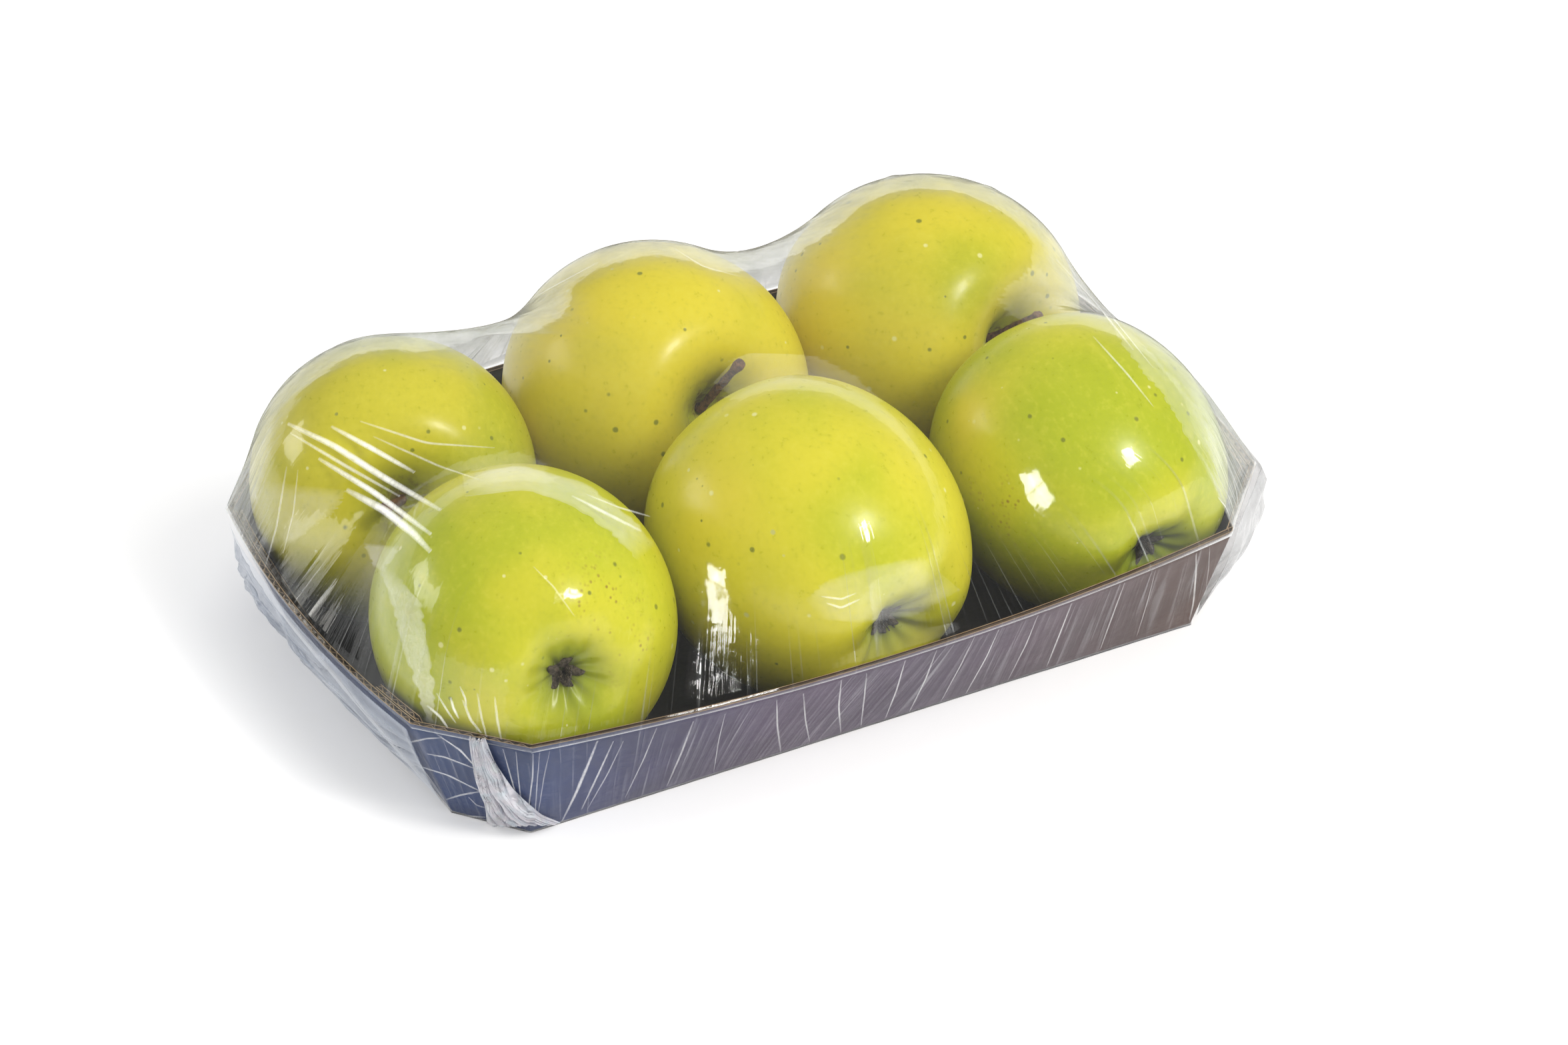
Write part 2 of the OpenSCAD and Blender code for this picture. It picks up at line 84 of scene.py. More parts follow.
def outline(v, d):
    """The eight corners of the board's outline at share v of the wall height, drawn in by d."""
    v, d = np.broadcast_arrays(np.asarray(v, float), np.asarray(d, float))
    hx, hy, cx, cy = (lerp(b, r, v) for b, r in zip(BASE, RIM))
    reach = cy * (hx - cx) + cx * hy - np.hypot(cx, cy) * d
    x, y = hx - d, hy - d
    xc, yc = (reach - cx * y) / cy, (reach - cy * x) / cx
    pts = [(-xc, -y), (xc, -y), (x, -yc), (x, yc), (xc, y), (-xc, y), (-x, yc), (-x, -yc)]
    return np.stack([np.stack(p, -1) for p in pts])


def wall_pt(side, u, v, d):
    """A point on a side of the tray: u along it, v up it, drawn in by d."""
    u, v, d = np.broadcast_arrays(*(np.asarray(k, float) for k in (u, v, d)))
    o = outline(v, d)
    xy = lerp(o[side], o[(side + 1) % 8], u[..., None])
    xy = xy + OUTWARD[side] * (BOWS[side] * v * 4 * u * (1 - u))[..., None]
    return np.concatenate([xy, (TRAY_Z + v * (RIM_Z - TRAY_Z))[..., None]], -1)


def side_length(side):
    return np.linalg.norm(wall_pt(side, 1, 1, 0) - wall_pt(side, 0, 1, 0))


class Build:
    """Collects the faces of one piece, in millimetres, with a material and attributes for each."""

    def __init__(self):
        self.v, self.f, self.m, self.a, self.n = [], [], [], {}, 0

    def add(self, verts, faces, mat=0, **attrs):
        verts = np.asarray(verts, float).reshape(-1, 3)
        for f in faces:
            self.f.append(tuple(int(i) + self.n for i in f))
        self.m += list(mat) if hasattr(mat, "__len__") else [mat] * len(faces)
        self.v.append(verts)
        for k, val in attrs.items():
            self.a.setdefault(k, []).append((self.n, np.asarray(val, float)))
        self.n += len(verts)

    def slab(self, outer, inner, mats=(0, 0, 0), wrap=False, fan=False, **attrs):
        """A closed sheet between two grids of points, rows by columns: mats are for the outer
        face, the inner face and the edges. wrap joins the last column to the first, and fan
        closes the first row to a point."""
        R, C = outer.shape[:2]
        first = outer[0].mean(0), inner[0].mean(0)
        i, j = np.meshgrid(np.arange(R - 1), np.arange(C if wrap else C - 1), indexing="ij")
        a, b = i * C + j, i * C + (j + 1) % C
        quads = np.stack([a, b, b + C, a + C], -1).reshape(-1, 4)
        S = R * C
        faces = [quads, quads[:, ::-1] + S]
        mat = [mats[0]] * len(quads) + [mats[1]] * len(quads)
        k = np.arange(C if wrap else C - 1)
        kn = (k + 1) % C
        last = (R - 1) * C
        edge = [np.stack([last + k, last + kn, last + kn + S, last + k + S], -1)]
        if not fan:
            edge.append(np.stack([kn, k, k + S, kn + S], -1))
        if not wrap:
            r = np.arange(R - 1) * C
            edge.append(np.stack([r, r + C, r + C + S, r + S], -1))
            e = r + C - 1
            edge.append(np.stack([e + C, e, e + S, e + C + S], -1))
        for q in edge:
            faces.append(q)
            mat += [mats[2]] * len(q)
        verts = np.concatenate([outer.reshape(-1, 3), inner.reshape(-1, 3)])
        faces = [tuple(f) for q in faces for f in q.tolist()]
        if fan:
            verts = np.concatenate([verts, [first[0], first[1]]])
            faces += [(2 * S, (c + 1) % C, c) for c in range(C)]
            faces += [(2 * S + 1, S + c, S + (c + 1) % C) for c in range(C)]
            mat += [mats[0]] * C + [mats[1]] * C
        full = {}
        for name, val in attrs.items():
            val = np.asarray(val, float).reshape(S, -1)
            val = np.concatenate([val, val])
            if fan:
                val = np.concatenate([val, val[:1], val[:1]])
            full[name] = val if val.shape[1] > 1 else val[:, 0]
        self.add(verts, faces, mat, **full)

    def tube(self, path, radii, sides):
        """A closed tube along a path."""
        path = np.asarray(path, float)
        n = len(path)
        radii = np.broadcast_to(np.asarray(radii, float), (n,))
        t = unit(np.gradient(path, axis=0))
        ref = np.array([0.3, 0.2, 1.0]) if abs(t[0, 2]) < 0.8 else np.array([1.0, 0.2, 0.1])
        up = np.zeros_like(path)
        for k in range(n):
            ref = ref - ref @ t[k] * t[k]
            ref = ref / np.linalg.norm(ref)
            up[k] = ref
        across = np.cross(t, up)
        ang = np.arange(sides) * 2 * math.pi / sides
        ring = np.cos(ang)[None, :, None] * across[:, None] + np.sin(ang)[None, :, None] * up[:, None]
        grid = path[:, None] + ring * radii[:, None, None]
        verts = np.concatenate([grid.reshape(-1, 3), path[:1], path[-1:]])
        i, j = np.meshgrid(np.arange(n - 1), np.arange(sides), indexing="ij")
        a, b = i * sides + j, i * sides + (j + 1) % sides
        faces = np.stack([a, b, b + sides, a + sides], -1).reshape(-1, 4).tolist()
        S = n * sides
        faces += [(S, (k + 1) % sides, k) for k in range(sides)]
        faces += [(S + 1, S - sides + k, S - sides + (k + 1) % sides) for k in range(sides)]
        self.add(verts, faces)

    def build(self, name, materials, body, nodes, slot, split=None):
        """Makes the mesh object of a piece; split is the angle past which its edges are sharp."""
        verts = np.concatenate(self.v) * MM
        me = bpy.data.meshes.new(name)
        me.from_pydata(verts.tolist(), [], self.f)
        for m in materials:
            me.materials.append(m)
        me.polygons.foreach_set("material_index", np.asarray(self.m, np.int32))
        for key, parts in self.a.items():
            width = parts[0][1].ndim
            full = np.zeros((self.n, 3) if width > 1 else self.n)
            for start, val in parts:
                full[start : start + len(val)] = val
            at = me.attributes.new(key, "FLOAT_VECTOR" if width > 1 else "FLOAT", "POINT")
            at.data.foreach_set("vector" if width > 1 else "value", full.ravel())
        me.update()
        ob = bpy.data.objects.new(name, me)
        bpy.context.scene.collection.objects.link(ob)
        me.shade_smooth()
        if split is not None:
            me.set_sharp_from_angle(angle=math.radians(split))
        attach(ob, body)
        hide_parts(*nodes)
        return ob


# Shader helpers
def new_group(name, inputs, outputs):
    g = bpy.data.node_groups.new(name, "ShaderNodeTree")
    for n, kind, default in inputs:
        s = g.interface.new_socket(n, in_out="INPUT", socket_type=kind)
        if default is not None:
            s.default_value = default
    for n, kind in outputs:
        g.interface.new_socket(n, in_out="OUTPUT", socket_type=kind)
    return g, g.nodes.new("NodeGroupInput"), g.nodes.new("NodeGroupOutput")


class Nodes:
    """Short names for adding nodes to a tree."""

    def __init__(self, tree):
        self.t = tree

    def node(self, kind, values=None, **props):
        n = self.t.nodes.new(kind)
        for k, v in props.items():
            setattr(n, k, v)
        for k, v in (values or {}).items():
            s = n.inputs[k]
            if isinstance(v, bpy.types.NodeSocket):
                self.t.links.new(v, s)
            else:
                s.default_value = v
        return n

    def math(self, op, a, b=0.0, c=None, clamp=False):
        vals = {0: a, 1: b}
        if c is not None:
            vals[2] = c
        return self.node("ShaderNodeMath", vals, operation=op, use_clamp=clamp).outputs[0]

    def ramp(self, fac, lo, hi, out_lo=0.0, out_hi=1.0):
        n = self.node("ShaderNodeMapRange", {"Value": fac, "From Min": lo, "From Max": hi,
                      "To Min": out_lo, "To Max": out_hi}, interpolation_type="SMOOTHSTEP")
        return n.outputs[0]

    def mix(self, fac, a, b, blend="MIX"):
        n = self.node("ShaderNodeMix", data_type="RGBA", blend_type=blend)
        for key, v in ((0, fac), (6, a), (7, b)):
            if isinstance(v, bpy.types.NodeSocket):
                self.t.links.new(v, n.inputs[key])
            elif key == 0:
                n.inputs[0].default_value = v
            else:
                n.inputs[key].default_value = (*v, 1.0)
        return n.outputs[2]

    def noise(self, vec, scale, detail=3.0, rough=0.5, distortion=0.0):
        n = self.node("ShaderNodeTexNoise", {"Vector": vec, "Scale": scale, "Detail": detail,
                      "Roughness": rough, "Distortion": distortion})
        return n.outputs[0]

    def stretch(self, vec, scale):
        return self.node("ShaderNodeVectorMath", {0: vec, 1: scale}, operation="MULTIPLY").outputs[0]


def new_material(name):
    m = bpy.data.materials.new(name)
    m.use_nodes = True
    m.node_tree.nodes.clear()
    n = Nodes(m.node_tree)
    out = n.node("ShaderNodeOutputMaterial")
    return m, n, out


def link(n, a, b):
    n.t.links.new(a, b)


def attribute(n, name):
    return n.node("ShaderNodeAttribute", attribute_name=name)


# Reusable effects
def skin_effect():
    """The skin of a yellow-green apple in its own coordinates, with the stem end at +Z."""
    g, gi, go = new_group("apple_skin", [
        ("Place", "NodeSocketVector", None), ("Seed", "NodeSocketFloat", 0.0),
        ("Green", "NodeSocketColor", (0.36, 0.46, 0.02, 1)),
        ("Yellow", "NodeSocketColor", (0.72, 0.62, 0.05, 1)),
        ("Yellowness", "NodeSocketFloat", 0.5), ("Warm Highlight", "NodeSocketFloat", 0.0),
        ("Russet", "NodeSocketFloat", 0.0)],
        [("Color", "NodeSocketColor"), ("Roughness", "NodeSocketFloat"), ("Height", "NodeSocketFloat")])
    n = Nodes(g)
    place = gi.outputs["Place"]
    shift = n.node("ShaderNodeCombineXYZ", {0: gi.outputs["Seed"], 1: gi.outputs["Seed"]}).outputs[0]
    moved = n.node("ShaderNodeVectorMath", {0: place, 1: shift}, operation="ADD").outputs[0]
    sep = n.node("ShaderNodeSeparateXYZ", {0: place})
    z = sep.outputs[2]
    flat = n.stretch(place, (1, 1, 0))
    rho = n.node("ShaderNodeVectorMath", {0: flat}, operation="LENGTH").outputs["Value"]
    broad = n.noise(moved, 0.9, 2.0)
    broad = n.math("ADD", broad, n.math("MULTIPLY", n.math("SUBTRACT", gi.outputs["Yellowness"], 0.5), 0.9))
    colour = n.mix(n.ramp(broad, 0.34, 0.66), gi.outputs["Green"], gi.outputs["Yellow"])
    streak = n.noise(n.stretch(moved, (9, 9, 1.3)), 1.0, 4.0, 0.6)
    colour = n.mix(n.ramp(streak, 0.52, 0.75, 0, 0.16), colour, (0.80, 0.72, 0.07))
    mottle = n.noise(moved, 21.0, 5.0, 0.62)
    colour = n.mix(n.ramp(mottle, 0.5, 0.72, 0, 0.22), colour, (0.80, 0.74, 0.08))
    colour = n.mix(n.ramp(mottle, 0.5, 0.26, 0, 0.20), colour, (0.30, 0.34, 0.02))
    # Painted warm highlight: the skin turns yellower where the light from the left-back gleams on it
    blush = n.math("MULTIPLY", gi.outputs["Warm Highlight"], n.ramp(n.noise(moved, 2.2, 3.0), 0.3, 0.7, 0.6, 1.0))
    colour = n.mix(n.math("MULTIPLY", blush, 0.6), colour, (0.84, 0.68, 0.06))
    dots = n.node("ShaderNodeTexVoronoi", {"Vector": moved, "Scale": 8.5, "Randomness": 1.0})
    some = n.node("ShaderNodeSeparateColor", {0: dots.outputs["Color"]})
    size = n.math("MULTIPLY_ADD", some.outputs[0], 0.10, 0.045)
    dot = n.ramp(n.math("DIVIDE", dots.outputs["Distance"], size), 1.5, 0.7)
    dot = n.math("MULTIPLY", dot, n.ramp(some.outputs[1], 0.5, 0.6))
    dark = n.ramp(some.outputs[2], 0.45, 0.55)
    colour = n.mix(n.math("MULTIPLY", dot, 0.8), colour, n.mix(dark, (0.84, 0.82, 0.36), (0.17, 0.20, 0.02)))
    near = n.math("DIVIDE", rho, 0.30)
    # Partly painted shade: the stem end has its own greener colour, and is also darkened for the shade in its
    # hollow
    stem = n.math("MULTIPLY", n.ramp(near, 1.5, 0.2), n.ramp(z, 0.3, 0.5))
    fan = n.noise(n.stretch(moved, (5, 5, 0.6)), 2.0, 4.0, 0.7)
    colour = n.mix(n.math("MULTIPLY", stem, 0.8), colour, (0.30, 0.36, 0.03))
    rust = n.math("MULTIPLY", n.ramp(near, 1.05, 0.25), n.ramp(z, 0.3, 0.5))
    rust = n.math("MULTIPLY", rust, n.ramp(fan, 0.42, 0.62))
    colour = n.mix(n.math("MULTIPLY", rust, 0.8), colour, (0.16, 0.10, 0.03))
    # Partly painted shade: the calyx end has its own darker green, and is also darkened for the shade in its
    # basin
    eye = n.math("MULTIPLY", n.ramp(near, 1.3, 0.25), n.ramp(z, -0.4, -0.6))
    colour = n.mix(n.math("MULTIPLY", eye, 0.75), colour, (0.20, 0.27, 0.03))
    # Painted shade: near black in the middle of the calyx, where its hollow lies in shade
    core = n.math("MULTIPLY", n.ramp(near, 0.55, 0.15), n.ramp(z, -0.3, -0.5))
    colour = n.mix(n.math("MULTIPLY", core, 0.9), colour, (0.05, 0.055, 0.02))
    spot = n.node("ShaderNodeTexVoronoi", {"Vector": moved, "Scale": 26.0, "Randomness": 1.0})
    spots = n.math("MULTIPLY", n.ramp(spot.outputs["Distance"], 0.42, 0.12), gi.outputs["Russet"])
    spots = n.math("MULTIPLY", spots, n.ramp(n.noise(moved, 7.0, 3.0), 0.44, 0.6))
    colour = n.mix(n.math("MULTIPLY", spots, 0.9), colour, (0.26, 0.12, 0.02))
    link(n, colour, go.inputs["Color"])
    rough = n.math("MULTIPLY_ADD", mottle, 0.16, 0.22)
    rough = n.math("MAXIMUM", rough, n.math("MULTIPLY", n.math("MAXIMUM", rust, spots), 0.7))
    link(n, rough, go.inputs["Roughness"])
    swell = n.math("MULTIPLY", n.noise(moved, 6.0, 2.0), 0.9)
    height = n.math("ADD", n.math("MULTIPLY", mottle, 0.25), swell)
    height = n.math("SUBTRACT", height, n.math("MULTIPLY", dot, 0.3))
    link(n, height, go.inputs["Height"])
    return g


def paper_effect():
    """Printed or plain board liner: fibres, flecks and a slow drift of colour along X."""
    g, gi, go = new_group("board_liner", [
        ("Place", "NodeSocketVector", None),
        ("Left", "NodeSocketColor", (0.05, 0.06, 0.1, 1)), ("Middle", "NodeSocketColor", (0.1, 0.08, 0.1, 1)),
        ("Right", "NodeSocketColor", (0.12, 0.09, 0.08, 1)), ("Fibre", "NodeSocketFloat", 0.15),
        ("Shine", "NodeSocketFloat", 0.45)],
        [("Color", "NodeSocketColor"), ("Roughness", "NodeSocketFloat"), ("Height", "NodeSocketFloat")])
    n = Nodes(g)
    place = gi.outputs["Place"]
    x = n.node("ShaderNodeSeparateXYZ", {0: place}).outputs[0]
    colour = n.mix(n.ramp(x, -0.11, -0.02), gi.outputs["Left"], gi.outputs["Middle"])
    colour = n.mix(n.ramp(x, 0.0, 0.10), colour, gi.outputs["Right"])
    fibre = n.noise(n.stretch(place, (500, 1500, 1500)), 1.0, 4.0, 0.65)
    cloud = n.noise(place, 45.0, 4.0, 0.6)
    pale = n.math("MULTIPLY", n.ramp(fibre, 0.35, 0.7), gi.outputs["Fibre"])
    colour = n.mix(pale, colour, (0.62, 0.58, 0.55))
    colour = n.mix(n.ramp(cloud, 0.3, 0.7, 0.0, 0.3), colour, (0.02, 0.018, 0.02))
    link(n, colour, go.inputs["Color"])
    link(n, n.math("MULTIPLY_ADD", fibre, 0.25, gi.outputs["Shine"]), go.inputs["Roughness"])
    link(n, n.math("ADD", fibre, n.math("MULTIPLY", cloud, 2.0)), go.inputs["Height"])
    return g


SKIN = skin_effect()
LINER = paper_effect()


def finish_surface(n, out, colour, rough, height, bump, distance, specular, coat=0.0):
    """Joins a colour, a roughness and a bump height to a material's shader."""
    bsdf = n.node("ShaderNodeBsdfPrincipled", {"Specular IOR Level": specular, "Coat Weight": coat,
                  "Coat Roughness": 0.12})
    link(n, colour, bsdf.inputs["Base Color"])
    link(n, rough, bsdf.inputs["Roughness"])
    b = n.node("ShaderNodeBump", {"Strength": bump, "Distance": distance, "Height": height})
    link(n, b.outputs[0], bsdf.inputs["Normal"])
    link(n, bsdf.outputs[0], out.inputs[0])


def skin_material(name, seed, green, yellow, yellowness):
    m, n, out = new_material(name)
    g = n.node("ShaderNodeGroup", node_tree=SKIN)
    link(n, attribute(n, "own").outputs["Vector"], g.inputs["Place"])
    link(n, attribute(n, "blush").outputs["Fac"], g.inputs["Warm Highlight"])
    link(n, attribute(n, "russet").outputs["Fac"], g.inputs["Russet"])
    g.inputs["Seed"].default_value = seed
    g.inputs["Green"].default_value = (*green, 1)
    g.inputs["Yellow"].default_value = (*yellow, 1)
    g.inputs["Yellowness"].default_value = yellowness
    finish_surface(n, out, g.outputs[0], g.outputs[1], g.outputs[2], 0.18, 0.0006, 0.5, 0.12)
    return m


def liner_material(name, left, middle, right, fibre, shine):
    m, n, out = new_material(name)
    g = n.node("ShaderNodeGroup", node_tree=LINER)
    place = n.node("ShaderNodeTexCoord").outputs["Object"]
    link(n, place, g.inputs["Place"])
    for key, c in (("Left", left), ("Middle", middle), ("Right", right)):
        g.inputs[key].default_value = (*c, 1)
    g.inputs["Fibre"].default_value = fibre
    g.inputs["Shine"].default_value = shine
    finish_surface(n, out, g.outputs[0], g.outputs[1], g.outputs[2], 0.25, 0.0002, 0.4)
    return m


def woody_material(name, dark, pale, scale, rough=0.7):
    m, n, out = new_material(name)
    grain = n.noise(n.node("ShaderNodeTexCoord").outputs["Object"], scale, 5.0, 0.7)
    colour = n.mix(n.ramp(grain, 0.3, 0.7), dark, pale)
    finish_surface(n, out, colour, n.math("MULTIPLY_ADD", grain, 0.2, rough - 0.1), grain, 0.6, 0.0006, 0.35)
    return m


def film_material(name, haze, ripple, gleam, rough, pleats=0.0, fade=0.0, shade=0.0, grazing_sheen=0.0,
                  tint=(0.93, 0.95, 0.98), iris=0.0, painted_glint=0.0):
    """Clear film: see-through, with the gleam of its surface, fine ripples and a little milkiness.
    pleats follow the lay of the film, fade is the cover of a crease, skim a painted sheen where the
    film is seen along its face, standing in for its reflection of the bright floor, iris its rainbow
    tint, and glow a painted glint that a crease gives off though it is no lamp."""
    m, n, out = new_material(name)
    place = n.node("ShaderNodeTexCoord").outputs["Object"]
    height = n.noise(place, 60.0, 3.0, 0.55)
    height = n.math("ADD", height, n.math("MULTIPLY", n.noise(place, 420.0, 2.0, 0.5), 0.08))
    cover = haze
    if pleats:
        lay = attribute(n, "lay").outputs["Vector"]
        force = n.node("ShaderNodeSeparateXYZ", {0: lay}).outputs[2]
        fine = n.noise(n.stretch(lay, (0.85, 0.018, 0)), 1.0, 2.0, 0.5)
        broad = n.noise(n.stretch(lay, (0.21, 0.022, 0)), 1.0, 2.0, 0.5)
        lines = n.math("MULTIPLY", n.ramp(fine, 0.57, 0.68), n.ramp(broad, 0.38, 0.6))
        lines = n.math("ADD", lines, n.math("MULTIPLY", n.ramp(broad, 0.60, 0.72), 0.5))
        cover = n.math("MULTIPLY_ADD", n.math("MULTIPLY", lines, force), pleats, haze)
        fold = n.math("ADD", n.math("MULTIPLY", fine, 0.6), n.math("MULTIPLY", broad, 1.6))
        height = n.math("ADD", height, n.math("MULTIPLY", fold, force))
    if fade:
        grain = n.noise(place, 700.0, 3.0, 0.6)
        soft = n.math("MULTIPLY", attribute(n, "fade").outputs["Fac"], n.ramp(grain, 0.25, 0.6, 0.7, 1.0))
        cover = n.math("MULTIPLY_ADD", soft, fade, haze)
    b = n.node("ShaderNodeBump", {"Strength": ripple, "Distance": 0.0012, "Height": height})
    fres = n.node("ShaderNodeFresnel", {"IOR": 1.5})
    link(n, b.outputs[0], fres.inputs["Normal"])
    front = n.math("SUBTRACT", 1.0, n.node("ShaderNodeNewGeometry").outputs["Backfacing"])
    cover = n.math("MULTIPLY_ADD", fres.outputs[0], gleam, cover)
    # Painted sheen: whiter where the film is seen along its face, on the right and back, for its reflection
    # of the bright floor
    if grazing_sheen:
        cloud = n.noise(n.stretch(place, (1, 0.6, 0.4)), 120.0, 4.0, 0.6)
        slant = n.ramp(fres.outputs[0], 0.058, 0.15)
        spot = n.node("ShaderNodeSeparateXYZ", {0: place})
        where = n.math("MAXIMUM", n.ramp(spot.outputs[0], 0.07, 0.1), n.ramp(spot.outputs[1], 0.0, 0.03))
        slant = n.math("MULTIPLY", slant, where)
        cover = n.math("ADD", cover, n.math("MULTIPLY", slant, n.ramp(cloud, 0.3, 0.65, grazing_sheen * 0.6, grazing_sheen)))
    cover = n.math("MINIMUM", n.math("MULTIPLY", cover, front), 0.95, clamp=True)
    colour = n.mix(n.ramp(n.noise(place, 90.0, 2.0), 0.35, 0.65), tint, tuple(0.9 * c for c in tint))
    if iris:
        hue = n.node("ShaderNodeValToRGB", {0: n.noise(place, 150.0, 3.0, 0.6, 1.0)})
        ramp = hue.color_ramp
        ramp.elements[0].position, ramp.elements[0].color = 0.36, (0.55, 0.80, 1.0, 1)
        ramp.elements[1].position, ramp.elements[1].color = 0.64, (0.80, 1.0, 0.85, 1)
        ramp.elements.new(0.5).color = (1.0, 0.72, 0.90, 1)
        colour = n.mix(iris, colour, hue.outputs[0])
    # The emission is a painted glint, not a lamp
    bsdf = n.node("ShaderNodeBsdfPrincipled", {"Base Color": colour, "Metallic": 0.72 - shade,
                  "Roughness": rough, "Alpha": cover, "Normal": b.outputs[0],
                  "Emission Color": (1, 1, 1, 1), "Emission Strength": painted_glint})
    link(n, bsdf.outputs[0], out.inputs[0])
    return m


# The camera, and where a place in the photograph falls on the model
def camera_axes():
    back = np.array([math.sin(AZIMUTH) * math.cos(ELEVATION), -math.cos(AZIMUTH) * math.cos(ELEVATION),
                     math.sin(ELEVATION)])
    right = np.array([math.cos(AZIMUTH), math.sin(AZIMUTH), 0])
    up = np.cross(back, right)
    c, s = math.cos(ROLL), math.sin(ROLL)
    return right * c + up * s, -right * s + up * c, back


CAM_RIGHT, CAM_UP, CAM_BACK = camera_axes()
CAM_PLACE = TARGET + CAM_BACK * DISTANCE


def sight(px, py):
    d = CAM_RIGHT * (px - FRAME_PX[0] / 2) / FOCAL_PX - CAM_UP * (py - FRAME_PX[1] / 2) / FOCAL_PX - CAM_BACK
    return d / np.linalg.norm(d)


def tree_of(verts, faces):
    return BVHTree.FromPolygons([Vector(v) for v in verts.tolist()], faces)


def seen(tree, px, py):
    """The place and normal where the sight line of a photograph point meets a surface."""
    d = sight(px, py)
    hit, normal, _, _ = tree.ray_cast(Vector(CAM_PLACE), Vector(d))
    if hit is None:
        return None
    normal = np.array(normal)
    return np.array(hit), normal if normal @ d < 0 else -normal


# The apples
def skin_radius(k, t):
    """Distance of an apple's skin from its middle at t degrees from the stem."""
    return RADII[k] * (1 - 0.5 * np.exp(-((t / 23) ** 2)) - 0.3 * np.exp(-(((180 - t) / 19.5) ** 2))
                       + 0.04 * np.cos(np.radians(t)))


def apple_axes(k):
    e, a = math.radians(TILTS[k]), math.radians(HEADINGS[k])
    z = np.array([math.cos(e) * math.cos(a), math.cos(e) * math.sin(a), math.sin(e)])
    x = np.array([math.sin(e) * math.cos(a), math.sin(e) * math.sin(a), -math.cos(e)])
    return x, np.array([-math.sin(a), math.cos(a), 0]), z


def apple_middle(k):
    t = np.linspace(0, 180, 361)
    r = skin_radius(k, t)
    e = math.radians(TILTS[k])
    low = (r * np.sin(np.radians(t)) * math.cos(e)
           - LENGTHS[k] * r * np.cos(np.radians(t)) * math.sin(e)).max()
    return np.array([PLACE_X[k], PLACE_Y[k], FLOOR + low])


MIDDLES = [apple_middle(k) for k in range(6)]


def top_over(k, x, y, room):
    """Height of an apple's top with room on it, over places in plan; -1 where it doesn't reach."""
    m, ax = MIDDLES[k], apple_axes(k)[2]
    px, py = x - m[0], y - m[1]

    def inside(z):
        pz = z - m[2]
        a = px * ax[0] + py * ax[1] + pz * ax[2]
        w = np.sqrt(np.maximum(0, px * px + py * py + pz * pz - a * a))
        h = a / LENGTHS[k]
        return np.hypot(h, w) < skin_radius(k, np.degrees(np.arctan2(w, h))) + room

    low = np.full(x.shape, m[2])
    high = low + 46
    for off in (0, 4, 8):
        low = np.where(inside(m[2] + off + 0 * x), m[2] + off, low)
    ok = inside(low)
    for _ in range(22):
        mid = (low + high) / 2
        i = inside(mid)
        low, high = np.where(i, mid, low), np.where(i, high, mid)
    return np.where(ok, high, -1.0)


# Painted warm highlights of the light from the left-back, and brown russet patches of the skin: points of the
# photograph and sizes in millimetres
WARM_HIGHLIGHTS = {4: [(840, 510, 14)], 5: [(1235, 420, 13)], 1: [(1075, 740, 12)], 2: [(1450, 620, 9)]}
RUSSETS = {0: [(905, 905, 9), (935, 960, 8)], 2: [(1500, 760, 8)]}
# Each apple's skin: seed, green, yellow and how yellow it is
SKINS = [
    (3.1, (0.47, 0.53, 0.012), (0.66, 0.63, 0.025), 0.50),
    (7.7, (0.50, 0.54, 0.012), (0.72, 0.65, 0.030), 0.60),
    (12.3, (0.45, 0.51, 0.012), (0.64, 0.62, 0.025), 0.45),
    (17.9, (0.48, 0.50, 0.015), (0.66, 0.60, 0.035), 0.5),
    (22.1, (0.54, 0.53, 0.015), (0.76, 0.65, 0.035), 0.75),
    (27.5, (0.52, 0.52, 0.015), (0.74, 0.64, 0.035), 0.65),
]


